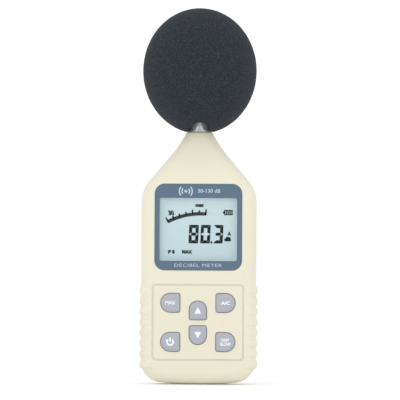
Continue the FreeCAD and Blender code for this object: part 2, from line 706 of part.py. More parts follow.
def make_key(name, x, z, turn, arrow):
    """A key cap with a bevel round its face, a flange behind the case's face and a stem."""
    front = "-depth_half - key_proud"
    back = "wall - depth_half + flange_play + flange_thick"
    cap = key_slab(name + "_cap", arrow, "0", front, back)
    doc.recompute()
    face = value(front)
    bevel = dress_edges("Chamfer", cap, cap.Tip, lambda edge: edge.BoundBox.YMax < face + HAIR)
    bevel.ChamferType = "Two distances"
    bind(bevel, "Size", "bevel_deep")
    bind(bevel, "Size2", "bevel_wide")
    flange = key_slab(name + "_flange", arrow, "flange_out", "wall - depth_half + flange_play", back)
    stem = rod(name + "_stem", "y", "stem_radius", f"stem_end - ({back}) + flange_thick", "0",
               f"{back} - flange_thick", "0")
    keep(name, set_key(fuse(name + "_solid", [cap, flange, stem]), x, z, turn))


# ---------------------------------------------------------------- shells

outer_form = case_form("outer_form", "0")
inner_form = case_form("inner_form", "wall")
case_block = fuse("case_block", [outer_form] + grip_ribs())
case_skin = cut("case_skin", case_block, [
    inner_form, rod("collar_way", "z", "collar_hole", "spare", z="case_top - spare / 2")])

WIDE = ("-body_half - spare", "body_half + spare")
TALL = ("-spare", "case_top + spare")


def lip_slab(name, inset, start, end):
    """A slice of a case form at the joint: the lip lies in it, or has its room there."""
    return common(name, case_form(name + "_form", inset), block(name + "_slice", WIDE, (start, end), TALL))


def screw_bosses(name, radius, start, end):
    return [rod(f"{name}_{i}", "y", radius, f"({end}) - ({start})", x, start, z)
            for i, (x, z) in enumerate(CASE_SCREWS)]


def port_holes():
    """Round holes through the left wall, for the two sockets and the trimmer."""
    rows = (("jack", "port_collar + label_gap", "jack_height"),
            ("power", "port_collar + label_gap", "power_height"),
            ("trim", "trim_hole", "trim_height"))
    return [rod(name + "_hole", "x", radius, "spare", "-body_half - spare / 2", "port_depth", height)
            for name, radius, height in rows]


def front_shell():
    half = cut("front_half", case_skin, [
        block("behind_front", WIDE, ("parting - parting_gap / 2", "depth_half + spare"), TALL)])
    lip = common("lip", case_skin, lip_slab("lip_reach", "(wall + lip_play) / 2", "parting - lip_deep",
                                            "parting + lip_deep"))
    pane_back = "label_sunk + label_thick + pane_thick - depth_half"
    inner_face = "wall - depth_half - bite"
    rim = block("window_rim", ("-sight_half - rim_wide", "sight_half + rim_wide"),
                (inner_face, f"{pane_back} + ledge_thick"),
                ("sight_low - rim_wide", "sight_high + rim_wide"))
    bosses = screw_bosses("front_boss", "boss_radius", inner_face, "parting - parting_gap")
    posts = [rod(f"post_{i}", "y", "post_radius", f"board_front - ({inner_face})", x, inner_face, z)
             for i, (x, z) in enumerate(POSTS)]
    solid = fuse("front_solid", [half, lip, rim] + bosses + posts)
    before = "-depth_half - spare"
    label_way = plate("label_way", ("-label_half - label_gap", "label_half + label_gap"),
                      ("label_low - label_gap", "label_high + label_gap"), before,
                      "label_sunk + label_thick - depth_half", "label_corner + label_gap")
    margin = "pane_margin + pane_gap"
    pane_way = plate("pane_way", (f"-sight_half - ({margin})", f"sight_half + {margin}"),
                     (f"sight_low - ({margin})", f"sight_high + {margin}"), before, pane_back, "sight_corner")
    sight_way = block("sight_way", ("ledge - sight_half - pane_margin", "sight_half + pane_margin - ledge"),
                      (before, "0"), ("sight_low - pane_margin + ledge", "sight_high + pane_margin - ledge"))
    keyways = [set_key(key_slab(name + "_way", arrow, "key_gap", before, "wall - depth_half + short_spare"),
                       x, z, turn) for name, x, z, turn, arrow in KEYS]
    bottom = "groove_deep - depth_half"
    groove = cut("panel_groove", plate("groove_outside", ("-panel_half", "panel_half"),
                                       ("panel_low", "panel_high"), before, bottom, "panel_corner"),
                 [plate("groove_inside", ("groove_wide - panel_half", "panel_half - groove_wide"),
                        ("panel_low + groove_wide", "panel_high - groove_wide"), before,
                        bottom + " + spare", "panel_corner - groove_wide")])
    pilots = screw_bosses("pilot", "screw_shank + screw_play", "screw_tip - short_spare", "parting + spare")
    post_pilots = [rod(f"post_pilot_{i}", "y", "board_screw_shank + screw_play",
                       "board_screw_reach + 2 * short_spare", x,
                       "board_front + board_thick - board_screw_reach - short_spare", z)
                   for i, (x, z) in enumerate(POSTS)]
    keep("front_shell", cut("front_solid_cut", solid, [label_way, pane_way, sight_way, groove]
                            + keyways + pilots + post_pilots + port_holes()))


def rear_shell():
    half = cut("rear_half", case_skin, [
        block("before_rear", WIDE, ("-depth_half - spare", "parting + parting_gap / 2"), TALL)])
    inner_face = "depth_half - wall + bite"
    tray = block("bay_outside", ("-bay_half - bay_wall", "bay_half + bay_wall"),
                 ("bay_floor - bay_floor_thick", inner_face), ("bay_low - bay_wall", "bay_high + bay_wall"))
    bosses = screw_bosses("rear_boss", "boss_radius", "parting + parting_gap / 2", inner_face)
    insert_boss = rod("insert_boss", "y", "insert_radius + wall",
                      f"{inner_face} - (depth_half - insert_long)",
                      "0", "depth_half - insert_long", "tripod_height")
    solid = fuse("rear_solid", [half, tray, insert_boss] + bosses)
    lip_room = cut("lip_ring", lip_slab("lip_room", "(wall - lip_play) / 2", "parting - lip_deep",
                                        "parting + lip_deep + lip_play"),
                   [case_form("inside_lip", "(wall + lip_play)")])
    after = "depth_half + spare"
    bay = block("bay_inside", ("-bay_half", "bay_half"), ("bay_floor", after), ("bay_low", "bay_high"))
    doorway = block("doorway", ("-door_half - door_gap", "door_half + door_gap"),
                    ("door_inner - door_seat", after),
                    ("pivot_height - (depth_half - door_inner) / 2 - door_gap", "door_high + door_gap"))
    pin_way = rod("pin_way", "x", "pin_radius + pin_play", "2 * (door_half + pin_long + door_gap)",
                  "-door_half - pin_long - door_gap", "(depth_half + door_inner) / 2", "pivot_height")
    latch_way = block("latch_way", ("-latch_half - door_gap", "latch_half + door_gap"),
                      ("latch_front - door_gap", "latch_front + latch_thick + door_gap"),
                      ("door_high - short_spare", "door_high + latch_reach + 2 * door_gap"))
    heads = [rod(f"head_way_{i}", "y", "screw_head + head_play", "spare", x, "head_seat", z)
             for i, (x, z) in enumerate(CASE_SCREWS)]
    shanks = screw_bosses("shank_way", "screw_shank + screw_play", "-spare", "head_seat + short_spare")
    insert_way = rod("insert_way", "y", "insert_radius", "insert_long + spare", "0",
                     "depth_half - insert_long - short_spare", "tripod_height")
    plate_way = block("plate_way", ("-plate_half - label_gap", "plate_half + label_gap"),
                      ("depth_half - plate_thick - label_sunk", after),
                      ("plate_low - label_gap", "plate_high + label_gap"))
    wire_ways = [rod(f"wire_way_{i}", "y", "wire_radius + door_gap", "bay_floor_thick + 2 * short_spare", x,
                     "bay_floor - bay_floor_thick - short_spare", "bay_high - lead_inset")
                 for i, x in enumerate(LEADS)]
    ways = [bay, doorway, pin_way, latch_way, insert_way, plate_way, lip_room]
    ways += heads + shanks + wire_ways + port_holes_rear()
    keep("rear_shell", cut("rear_solid_cut", solid, ways))


def port_holes_rear():
    """The port holes reach just past the joint line, so the rear shell gets the rest of them."""
    rows = (("jack", "jack_height"), ("power", "power_height"))
    return [rod(name + "_rear_hole", "x", "port_collar + label_gap", "spare", "-body_half - spare / 2",
                "port_depth", height) for name, height in rows]


def case_screws():
    """Pan-head screws with a cross recess, put in from the back."""
    screws = []
    for i, (x, z) in enumerate(CASE_SCREWS):
        shank = rod(f"shank_{i}", "y", "screw_shank", "head_seat - screw_tip + bite", x, "screw_tip", z)
        head = rod(f"head_{i}", "y", "screw_head", "head_thick", x, "head_seat", z)
        arms = (("cross_long", "cross_thin"), ("cross_thin", "cross_long"))
        slots = [block(f"slot_{i}_{j}", (f"{x} - {across}", f"{x} + {across}"),
                       ("head_seat + head_thick - cross_deep", "head_seat + head_thick + spare"),
                       (f"{z} - {upright}", f"{z} + {upright}"))
                 for j, (across, upright) in enumerate(arms)]
        screws.append(cut(f"screw_{i}", fuse(f"screw_blank_{i}", [shank, head]), slots))
    keep("case_screws", group("case_screw_set", screws))


# ---------------------------------------------------------------- window and display

def window_parts():
    face = "label_sunk - depth_half"
    frame = plate("label_blank", ("-label_half", "label_half"), ("label_low", "label_high"), face,
                  f"{face} + label_thick", "label_corner")
    sight = plate("label_sight", ("-sight_half", "sight_half"), ("sight_low", "sight_high"),
                  "-depth_half - spare", "0", "sight_corner")
    keep("label_frame", cut("label_cut", frame, [sight]))
    pane = plate("pane_blank", ("-sight_half - pane_margin", "sight_half + pane_margin"),
                 ("sight_low - pane_margin", "sight_high + pane_margin"), f"{face} + label_thick",
                 f"{face} + label_thick + pane_thick", "sight_corner")
    keep("display_window", pane)


def display_parts():
    glass = "lcd_front + glass_thick"
    back = f"{glass} + glass_thick"
    wide = ("-lcd_half", "lcd_half")
    films = ("film_margin - lcd_half", "lcd_half - film_margin")
    film_tall = ("lcd_low + film_margin", "lcd_high - film_margin")
    short = ("lcd_low + contact_ledge", "lcd_high - contact_ledge")
    keep("lcd_polariser", block("polariser", films, ("lcd_front - film_thick", "lcd_front"), film_tall))
    keep("lcd_front_glass", block("front_glass", wide, ("lcd_front", glass), ("lcd_low", "lcd_high")))
    keep("lcd_rear_glass", block("rear_glass", wide, (glass, back), short))
    keep("lcd_reflector", block("reflector", films, (back, f"{back} + film_thick"), short))
    ends = ("zebra_end - lcd_half", "lcd_half - zebra_end")
    strips = [block(f"zebra_{i}", ends, (glass, "board_front"), zs)
              for i, zs in enumerate((("lcd_low + zebra_inset", "lcd_low + contact_ledge - zebra_inset"),
                                      ("lcd_high - contact_ledge + zebra_inset", "lcd_high - zebra_inset")))]
    keep("zebra_strips", group("zebra_pair", strips))
    outer = "lcd_half + holder_gap + holder_wall"
    inner = "lcd_half + holder_gap"
    edge = "holder_gap + holder_wall"
    blank = block("holder_blank", (f"-({outer})", outer), ("lcd_front - film_thick", "board_front"),
                  (f"lcd_low - ({edge})", f"lcd_high + {edge}"))
    hollow = block("holder_hollow", (f"-({inner})", inner), ("-depth_half", "0"),
                   ("lcd_low - holder_gap", "lcd_high + holder_gap"))
    keep("lcd_holder", cut("holder_cut", blank, [hollow]))


# ---------------------------------------------------------------- circuit board

def main_board():
    outline = [("-board_half", "board_low"), ("board_half", "board_low"), ("board_half", "board_shoulder"),
               ("board_top_half", "board_high"), ("-board_top_half", "board_high"),
               ("-board_half", "board_shoulder")]
    blank = slab("board_blank", "board_front", "board_front + board_thick",
                 lambda sketch: polygon(sketch, outline))
    holes = [("boss_radius + boss_play", x, z) for x, z in CASE_SCREWS]
    holes += [("board_screw_shank + board_hole_play", x, z) for x, z in POSTS]
    ways = [rod(f"board_way_{i}", "y", radius, "board_thick + 2 * spare", x, "board_front - spare", z)
            for i, (radius, x, z) in enumerate(holes)]
    keep("main_board", cut("board_cut", blank, ways))


def board_screws():
    back = "board_front + board_thick"
    screws = []
    for i, (x, z) in enumerate(POSTS):
        shank = rod(f"board_shank_{i}", "y", "board_screw_shank", "board_screw_reach + bite", x,
                    f"{back} - board_screw_reach", z)
        head = rod(f"board_head_{i}", "y", "board_screw_head", "board_head_thick", x, back, z)
        screws.append(fuse(f"board_screw_{i}", [shank, head]))
    keep("board_screws", group("board_screw_set", screws))


def chip(name, x, z, wide, tall, pins, quad=False):
    """A chip on the back of the board: a moulded body with flat leads on two or four sides."""
    back = "board_front + board_thick"
    body = block(name + "_body", (f"{x} - {wide} / 2", f"{x} + {wide} / 2"),
                 (f"{back} + chip_lift", f"{back} + chip_thick"), (f"{z} - {tall} / 2", f"{z} + {tall} / 2"))
    leads = []
    for i in range(pins):
        step = f"({i} - ({pins} - 1) / 2) * {tall} / {pins}"
        rows = [((f"{x} - {wide} / 2 - lead_out", f"{x} + {wide} / 2 + lead_out"),
                 (f"{z} + {step} - lead_half", f"{z} + {step} + lead_half"))]
        if quad:
            rows.append(((f"{x} + {step} - lead_half", f"{x} + {step} + lead_half"),
                         (f"{z} - {tall} / 2 - lead_out", f"{z} + {tall} / 2 + lead_out")))
        leads += [block(f"{name}_lead_{i}_{j}", xs, (back, f"{back} + lead_thick"), zs)
                  for j, (xs, zs) in enumerate(rows)]
    return fuse(name, [body] + leads)


def chips():
    size = "processor_size"
    keep("processor_chip", chip("processor", "0", "processor_height", size, size, PROCESSOR_LEADS, quad=True))
    keep("amplifier_chips", group("amplifier_set", [
        chip(f"amplifier_{i}", x, z, "amplifier_wide", "amplifier_tall", AMPLIFIER_LEADS)
        for i, (x, z) in enumerate(AMPLIFIERS)]))


def small_parts():
    """The crystal, the capacitors, two rows of resistors and the microphone's connector."""
    back = "board_front + board_thick"
    keep("quartz_crystal", plate("crystal_can", ("crystal_left", "crystal_left + crystal_wide"),
                                 ("crystal_low", "crystal_high"), back, f"{back} + crystal_thick",
                                 "crystal_corner"))
    cans = [rod(f"capacitor_{i}", "y", "can_radius", "can_long", str(x), back, str(z))
            for i, (x, z) in enumerate(CAPACITORS)]
    keep("capacitors", group("capacitor_set", cans))
    resistors = []
    for row in range(RESISTOR_ROWS):
        for column in RESISTOR_COLUMNS:
            x = f"{column} * resistor_pitch"
            z = f"resistor_high - {row} * resistor_row"
            resistors.append(block(
                f"resistor_{len(resistors)}", (f"{x} - resistor_wide / 2", f"{x} + resistor_wide / 2"),
                (back, f"{back} + resistor_thick"), (f"{z} - resistor_tall / 2", f"{z} + resistor_tall / 2")))
    keep("chip_resistors", group("resistor_set", resistors))
    keep("mic_connector", block("plug_body", ("-plug_half", "plug_half"), (back, "plug_back"),
                                ("plug_low", "plug_high")))


def key_switches():
    """A snap dome on the front of the board behind each key, inside a hole of the key mat."""
    domes = []
    holes = []
    for name, x, z, turn, arrow in KEYS:
        ball = doc.addObject("Part::Sphere", name + "_ball")
        bind(ball, "Radius", "dome_ball")
        place(ball, x, "board_front - dome_height + dome_ball", z)
        room = block(name + "_dome_room", (f"{x} - mat_hole", f"{x} + mat_hole"),
                     ("board_front - mat_thick", "board_front"), (f"{z} - mat_hole", f"{z} + mat_hole"))
        domes.append(common(name + "_dome", ball, room))
        holes.append(rod(name + "_mat_way", "y", "mat_hole", "mat_thick + 2 * short_spare", x,
                         "board_front - mat_thick - short_spare", z))
    keep("snap_domes", group("dome_set", domes))
    mat = plate("mat_blank", ("-mat_half", "mat_half"), ("mat_low", "mat_high"), "board_front - mat_thick",
                "board_front", "mat_corner")
    keep("key_mat", cut("mat_cut", mat, holes))


# ---------------------------------------------------------------- sockets and trimmer on the left side

def socket_part(name, height, tall, bore, pin=None):
    """A board-mounted socket whose round collar fills a hole in the side of the case."""
    back = "board_front + board_thick"
    body = block(name + "_body", ("socket_collar - port_face", "socket_deep - port_face"),
                 (back, "port_depth + socket_back"), (f"{height} - {tall} / 2", f"{height} + {tall} / 2"))
    collar = rod(name + "_collar", "x", "port_collar", "socket_collar + bite", "-port_face", "port_depth",
                 height)
    way = rod(name + "_bore", "x", bore, "socket_bore + spare", "-port_face - spare", "port_depth", height)
    item = cut(name + "_cut", fuse(name + "_blank", [body, collar]), [way])
    if pin:
        needle = rod(name + "_pin", "x", pin, "socket_bore - power_recess + bite", "power_recess - port_face",
                     "port_depth", height)
        item = fuse(name + "_with_pin", [item, needle])
    return item


def side_parts():
    keep("output_jack", socket_part("jack", "jack_height", "jack_tall", "jack_bore"))
    keep("power_inlet", socket_part("inlet", "power_height", "power_tall", "power_bore", "power_pin"))
    back = "board_front + board_thick"
    body = block("trimmer_block", ("-trimmer_outer", "-trimmer_inner"), (back, "port_depth + trimmer_back"),
                 ("trim_height - trimmer_half", "trim_height + trimmer_half"))
    way = rod("rotor_way", "x", "rotor_radius + rotor_play", "rotor_long + rotor_play", "-rotor_outer",
              "port_depth", "trim_height")
    keep("trimmer_body", cut("trimmer_cut", body, [way]))
    rotor = rod("rotor_blank", "x", "rotor_radius", "rotor_long", "-rotor_outer", "port_depth", "trim_height")
    slot = block("rotor_slot_way", ("-rotor_outer - spare", "slot_deep - rotor_outer"),
                 ("port_depth - rotor_slot", "port_depth + rotor_slot"),
                 ("trim_height - trimmer_half", "trim_height + trimmer_half"))
    keep("trimmer_rotor", cut("rotor_cut", rotor, [slot]))


# ---------------------------------------------------------------- battery compartment

def cells():
    """Four AAA cells side by side, every second one upside down."""
    for i, x in enumerate(CELLS):
        name = f"battery_{i + 1}"
        top = "cell_length + nub_height"
        shoulder = "cell_radius - cell_shoulder"
        item = turned(name + "_form", [
            ("0", "0"), (shoulder, "0"), ("cell_radius", "cell_shoulder"),
            ("cell_radius", "cell_length - cell_shoulder"), (shoulder, "cell_length"),
            ("nub_radius", "cell_length"), ("nub_radius", top), ("0", top)])
        if i % 2:
            item.Placement = FreeCAD.Placement(Vector(), FreeCAD.Rotation(Vector(1, 0, 0), 180))
            place(item, x, "cell_depth", f"bay_low + contact_thick + cell_play + {top}")
        else:
            place(item, x, "cell_depth", f"bay_high - contact_thick - cell_play - ({top})")
        keep(name, item)


def spring(name, x, upright):
    """A tightly wound conical spring, as turns that just meet, on the lower or the upper plate."""
    start = "bay_low + contact_thick + spring_wire" if upright else "bay_high - contact_thick - spring_wire"
    sign = "+" if upright else "-"
    turns = []
    for turn in range(SPRING_TURNS):
        ring = doc.addObject("Part::Torus", f"{name}_{turn}")
        bind(ring, "Radius1", f"spring_base - {turn} * spring_taper")
        bind(ring, "Radius2", "spring_wire")
        place(ring, x, "cell_depth", f"{start} {sign} {turn} * spring_pitch")
        turns.append(ring)
    return fuse(name, turns)


def contacts():
    """Flat plates at the positive ends, and sprung plates at the negative ends."""
    plates, springs = [], []
    for i, x in enumerate(CELLS):
        for end in range(2):
            low = "bay_low" if end == 0 else "bay_high - contact_thick"
            box = block(f"contact_{i}_{end}", (f"{x} - contact_half", f"{x} + contact_half"),
                        ("bay_floor", "bay_floor + contact_deep"), (low, low + " + contact_thick"))
            sprung = (end == 0) == (i % 2 == 0)
            if not sprung:
                plates.append(box)
                continue
            springs += [box, spring(f"spring_{i}", x, end == 0)]
    keep("contact_plates", group("plate_set", plates))
    keep("contact_springs", group("spring_set", springs))
    leads = [rod(f"battery_lead_{i}", "y", "wire_radius", "bay_floor - board_front - board_thick", x,
                 "board_front + board_thick", "bay_high - lead_inset")
             for i, x in enumerate(LEADS)]
    keep("battery_wires", group("battery_lead_pair", leads))


def battery_door():
    """A flat door with a half-round lower edge that turns on two stub pins."""
    thick = "(depth_half - door_inner)"
    middle = "(depth_half + door_inner) / 2"
    panel = plate("door_panel", ("-door_half", "door_half"), ("pivot_height", "door_high"), "door_inner",
                  "depth_half")
    doc.recompute()
    high = value("door_high") - HAIR
    round_edges(panel, panel.Tip, lambda edge: along_y(edge) and edge.BoundBox.ZMin > high, "door_corner")
    nose = rod("door_nose", "x", thick + " / 2", "2 * door_half", "-door_half", middle, "pivot_height")
    pin = rod("door_pin", "x", "pin_radius", "2 * (door_half + pin_long)", "-door_half - pin_long", middle,
              "pivot_height")
    lines = [block(f"grip_line_{i}", ("-grip_half", "grip_half"),
                   ("depth_half - grip_line", "depth_half + spare"),
                   (f"grip_low + {i} * grip_pitch", f"grip_low + {i} * grip_pitch + grip_line"))
             for i in range(GRIP_LINES)]
    latch_seat = block("latch_seat", ("-latch_half - latch_play", "latch_half + latch_play"),
                       ("latch_front", "latch_front + latch_thick"),
                       ("door_high - latch_root", "door_high + spare"))
    keep("battery_door", cut("door_cut", fuse("door_solid", [panel, nose, pin]), lines + [latch_seat]))
    keep("door_latch", block("latch_tongue", ("-latch_half", "latch_half"),
                             ("latch_front", "latch_front + latch_thick"),
                             ("door_high - latch_root", "door_high + latch_reach")))
    keep("door_pad", block("door_foam", ("-pad_half", "pad_half"), ("door_inner - pad_thick", "door_inner"),
                           ("pad_low", "pad_high")))


# ---------------------------------------------------------------- back

def rear_fittings():
    ring = rod("insert_blank", "y", "insert_radius", "insert_long", "0", "depth_half - insert_long",
               "tripod_height")
    way = rod("insert_bore", "y", "tripod_radius", "insert_long + 2 * spare", "0",
              "depth_half - insert_long - spare", "tripod_height")
    keep("tripod_insert", cut("insert_cut", ring, [way]))
    keep("rear_plate", block("rear_label", ("-plate_half", "plate_half"),
                             ("depth_half - plate_thick - label_sunk", "depth_half - label_sunk"),
                             ("plate_low", "plate_high")))


# ---------------------------------------------------------------- microphone and windscreen

def microphone():
    """A collar through the top of the case, a tube on it and the capsule under a slotted cap."""
    neck, foot, ledge = "collar_hole - hair_gap", "case_top - wall - bite", "case_top + hair_gap"
    keep("mic_collar", turned("collar_form", [
        ("collar_bore", "case_top - collar_foot"), ("collar_hole + collar_lip", "case_top - collar_foot"),
        ("collar_hole + collar_lip", foot), (neck, foot), (neck, ledge),
        ("flange_radius - small_break", ledge), ("flange_radius", f"{ledge} + small_break"),
        ("flange_radius", "collar_high - small_break"),
        ("flange_radius - small_break", "collar_high"), ("tube_bore - hair_gap", "collar_high"),
        ("tube_bore - hair_gap", "collar_high + collar_spigot"),
        ("collar_bore", "collar_high + collar_spigot")]))
    keep("mic_tube", turned("tube_form", [
        ("tube_bore", "collar_high"), ("tube_radius", "collar_high"),
        ("tube_radius", "tube_high - small_break"),
        ("tube_radius - small_break", "tube_high"), ("tube_bore", "tube_high")]))
    keep("mic_insulator", turned("insulator_form", [
        ("capsule_radius - insulator_wall", "capsule_low - insulator_high"),
        ("tube_bore - hair_gap", "capsule_low - insulator_high"), ("tube_bore - hair_gap", "capsule_low"),
        ("capsule_radius - insulator_wall", "capsule_low")]))
    keep("mic_capsule", turned("capsule_form", [
        ("0", "capsule_low"), ("capsule_radius", "capsule_low"),
        ("capsule_radius", "capsule_high - small_break"), ("capsule_radius - small_break", "capsule_high"),
        ("terminal_radius", "capsule_high"), ("terminal_radius", "capsule_high - terminal_deep"),
        ("0", "capsule_high - terminal_deep")]))
    inside, start = "tube_bore + bite", "tube_high + bite"
    cap = turned("grid_form", [
        (inside, start), ("tube_radius - small_break", start), ("tube_radius", f"{start} + small_break"),
        ("tube_radius", "grid_high - grid_thick"), ("tube_radius - grid_thick", "grid_high"),
        ("0", "grid_high"), ("0", "grid_high - grid_thick"), (inside, "grid_high - grid_thick")])
    slots = []
    for step in range(-SLOTS_EACH_SIDE, SLOTS_EACH_SIDE + 1):
        middle = f"{2 * step} * slot_wide"
        reach = f"sqrt(slot_field ^ 2 - ({middle}) ^ 2)"
        slots.append(block(f"grid_slot_{len(slots)}",
                           (f"{middle} - slot_wide / 2", f"{middle} + slot_wide / 2"),
                           (f"-{reach}", reach), ("grid_high - 2 * grid_thick", "grid_high + spare")))
    keep("mic_grid", cut("grid_cut", cap, slots))
    leads = [rod(f"mic_lead_{i}", "z", "wire_radius", "capsule_low - plug_high", x, "wire_depth", "plug_high")
             for i, x in enumerate(("-wire_side", "wire_side"))]
    keep("mic_wires", group("mic_lead_pair", leads))


def windscreen():
    """An egg-shaped foam ball with a blind bore that slips over the microphone."""
    ball = doc.addObject("Part::Ellipsoid", "foam_ball")
    bind(ball, "Radius1", "foam_half")
    bind(ball, "Radius2", "foam_radius")
    bind(ball, "Radius3", "foam_radius")
    place(ball, "0", "0", "foam_middle")
    bore = turned("foam_way", [
        ("0", "case_top - spare"), ("foam_flare", "case_top - spare"), ("foam_flare", "flare_low"),
        ("foam_bore", "flare_high"), ("foam_bore", "bore_high - bore_taper"),
        ("foam_bore - bore_taper", "bore_high"), ("0", "bore_high")])
    keep("windscreen", cut("foam_cut", ball, [bore]))


# ---------------------------------------------------------------- build

front_shell()
rear_shell()
case_screws()
window_parts()
display_parts()
main_board()
board_screws()
chips()
small_parts()
key_switches()
for key in KEYS:
    make_key(*key)
side_parts()
cells()
contacts()
battery_door()
rear_fittings()
microphone()
windscreen()
doc.recompute()

bad = [item.Name for item in doc.Objects if {"Invalid", "Error"} & set(item.State)]
bad += [label for label, item in parts.items() if item.Shape.isNull() or not item.Shape.isValid()]
if bad:
    raise RuntimeError("these did not build: " + ", ".join(bad))

os.makedirs("parts", exist_ok=True)
for label, item in parts.items():
    item.Shape.exportStep(f"parts/{label}.step")
print(len(parts), "sub-parts written")
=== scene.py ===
import json
import math

import bmesh
import bpy
from mathutils import Matrix, Vector, noise


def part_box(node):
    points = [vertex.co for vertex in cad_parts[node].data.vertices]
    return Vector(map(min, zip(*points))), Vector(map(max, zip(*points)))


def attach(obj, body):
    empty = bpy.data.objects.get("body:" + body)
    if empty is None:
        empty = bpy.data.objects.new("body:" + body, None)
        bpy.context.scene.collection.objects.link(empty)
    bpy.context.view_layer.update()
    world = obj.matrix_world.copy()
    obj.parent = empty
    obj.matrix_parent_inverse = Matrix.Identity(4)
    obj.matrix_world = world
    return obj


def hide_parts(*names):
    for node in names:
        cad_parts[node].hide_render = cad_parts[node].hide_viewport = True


# A hand-held sound level meter with a foam windscreen, in metres. The front faces -Y and up is +Z.

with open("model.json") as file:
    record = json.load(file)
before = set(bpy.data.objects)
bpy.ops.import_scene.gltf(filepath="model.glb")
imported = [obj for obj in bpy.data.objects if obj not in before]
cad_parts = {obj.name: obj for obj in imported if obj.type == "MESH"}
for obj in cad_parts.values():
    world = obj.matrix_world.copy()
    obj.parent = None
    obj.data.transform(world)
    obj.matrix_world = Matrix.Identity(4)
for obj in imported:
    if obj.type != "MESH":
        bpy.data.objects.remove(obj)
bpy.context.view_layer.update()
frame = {"nodes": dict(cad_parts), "record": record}
MM = 0.001


# ---------------------------------------------------------------- materials

def srgb(red, green, blue):
    """A colour as it looks on a screen, from 0 to 255, as the shader's linear values."""
    shares = (red / 255, green / 255, blue / 255)
    return tuple(s / 12.92 if s <= 0.04045 else ((s + 0.055) / 1.055) ** 2.4 for s in shares)


def shade(colour, factor):
    """The same colour, lighter or darker."""
    return tuple(min(1.0, channel * factor) for channel in colour)


class Finish:
    """A material: one Principled shader, and the patterns that feed it in the object's own axes."""

    def __init__(self, name, **sockets):
        self.material = bpy.data.materials.new(name)
        self.material.use_nodes = True
        self.tree = self.material.node_tree
        self.shader = self.tree.nodes["Principled BSDF"]
        for socket, value in sockets.items():
            self.shader.inputs[socket.replace("_", " ")].default_value = value
        self.place = self.add("ShaderNodeTexCoord").outputs["Object"]

    def add(self, kind, inputs=(), **settings):
        node = self.tree.nodes.new(kind)
        for setting, value in settings.items():
            setattr(node, setting, value)
        for socket, value in dict(inputs).items():
            if isinstance(value, bpy.types.NodeSocket):
                self.tree.links.new(value, node.inputs[socket])
            else:
                node.inputs[socket].default_value = value
        return node

    def feed(self, socket, output):
        self.tree.links.new(output, self.shader.inputs[socket])

    def stretched(self, x, y, z):
        """The object's own axes, with a pattern made finer along each by that factor."""
        mapping = self.add("ShaderNodeMapping", {"Vector": self.place, "Scale": (x, y, z)})
        return mapping.outputs["Vector"]

    def clouds(self, size, detail=3.0, place=None):
        """Soft blotches about that size across, from 0 to 1."""
        pattern = self.add("ShaderNodeTexNoise", {"Vector": place or self.place, "Scale": 1 / size,
                                                  "Detail": detail})
        return pattern.outputs["Fac"]

    def cells(self, size, feature="F1", distance="EUCLIDEAN", place=None):
        """Packed cells about that size across: the distance from each one's middle."""
        pattern = self.add("ShaderNodeTexVoronoi", {"Vector": place or self.place, "Scale": 1 / size},
                           feature=feature, distance=distance)
        return pattern.outputs["Distance"]

    def along(self, axis):
        """The place along one of the object's axes, in metres."""
        return self.add("ShaderNodeSeparateXYZ", {"Vector": self.place}).outputs[axis]

    def combine(self, operation, first, second=0.0):
        sockets = self.add("ShaderNodeMath", {0: first, 1: second}, operation=operation)
        return sockets.outputs["Value"]

    def between(self, pattern, low, high, start=0.0, end=1.0):
        """A pattern's values from start to end, read as low to high."""
        reading = self.add("ShaderNodeMapRange", {"Value": pattern, "From Min": start, "From Max": end,
                                                  "To Min": low, "To Max": high})
        return reading.outputs["Result"]

    def colours(self, pattern, *stops):
        """A pattern's values read as colours: each stop is a value and its colour, low to high."""
        node = self.add("ShaderNodeValToRGB", {"Fac": pattern})
        elements = node.color_ramp.elements
        while len(elements) < len(stops):
            elements.new(1.0)
        for element, (value, colour) in zip(elements, stops):
            element.position = value
            element.color = (*colour, 1.0)
        return node.outputs["Color"]

    def relief(self, pattern, depth, strength=1.0):
        """Adds bumps of that depth to those the surface has already."""
        bump = self.add("ShaderNodeBump", {"Height": pattern, "Distance": depth, "Strength": strength})
        before = self.shader.inputs["Normal"].links
        if before:
            self.tree.links.new(before[0].from_socket, bump.inputs["Normal"])
        self.feed("Normal", bump.outputs["Normal"])


def moulded(name, colour, roughness, grain=0.35 * MM, depth=0.012 * MM, clouding=0.02):
    """Moulded plastic: spark-eroded grain, faint clouding and a gloss that varies a little."""
    finish = Finish(name)
    clouds = finish.clouds(30 * MM, 5)
    finish.feed("Base Color", finish.colours(clouds, (0.3, shade(colour, 1 - clouding)),
                                             (0.7, shade(colour, 1 + clouding))))
    handling = finish.clouds(9 * MM, 4)
    finish.feed("Roughness", finish.between(handling, roughness - 0.07, roughness + 0.07, 0.3, 0.7))
    finish.relief(finish.clouds(grain, 2), depth)
    return finish.material


def case_plastic():
    """Cream ABS with a fine satin texture, and painted shade that darkens its grooves and joints."""
    cream = srgb(223, 218, 198)
    finish = Finish("case_plastic", IOR=1.5)
    clouds = finish.clouds(45 * MM, 5)
    body = finish.colours(clouds, (0.3, shade(cream, 0.985)), (0.7, shade(cream, 1.01)))
    # painted shade: the colour darkens towards a brownish grey where ambient occlusion finds grooves and
    # joints
    corner = finish.add("ShaderNodeAmbientOcclusion", {"Distance": 1.2 * MM}, samples=8)
    painted_groove_shade = finish.add("ShaderNodeMix", {"A": srgb(168, 162, 142) + (1.0,), "B": body}, data_type="RGBA")
    depth = finish.between(corner.outputs["AO"], 0.0, 1.0, 0.15, 0.75)
    finish.tree.links.new(depth, painted_groove_shade.inputs["Factor"])
    finish.feed("Base Color", painted_groove_shade.outputs["Result"])
    handling = finish.clouds(12 * MM, 4)
    finish.feed("Roughness", finish.between(handling, 0.4, 0.54, 0.3, 0.7))
    finish.relief(finish.clouds(0.4 * MM, 2), 0.02 * MM)
    finish.relief(finish.cells(0.22 * MM), 0.006 * MM)
    return finish.material


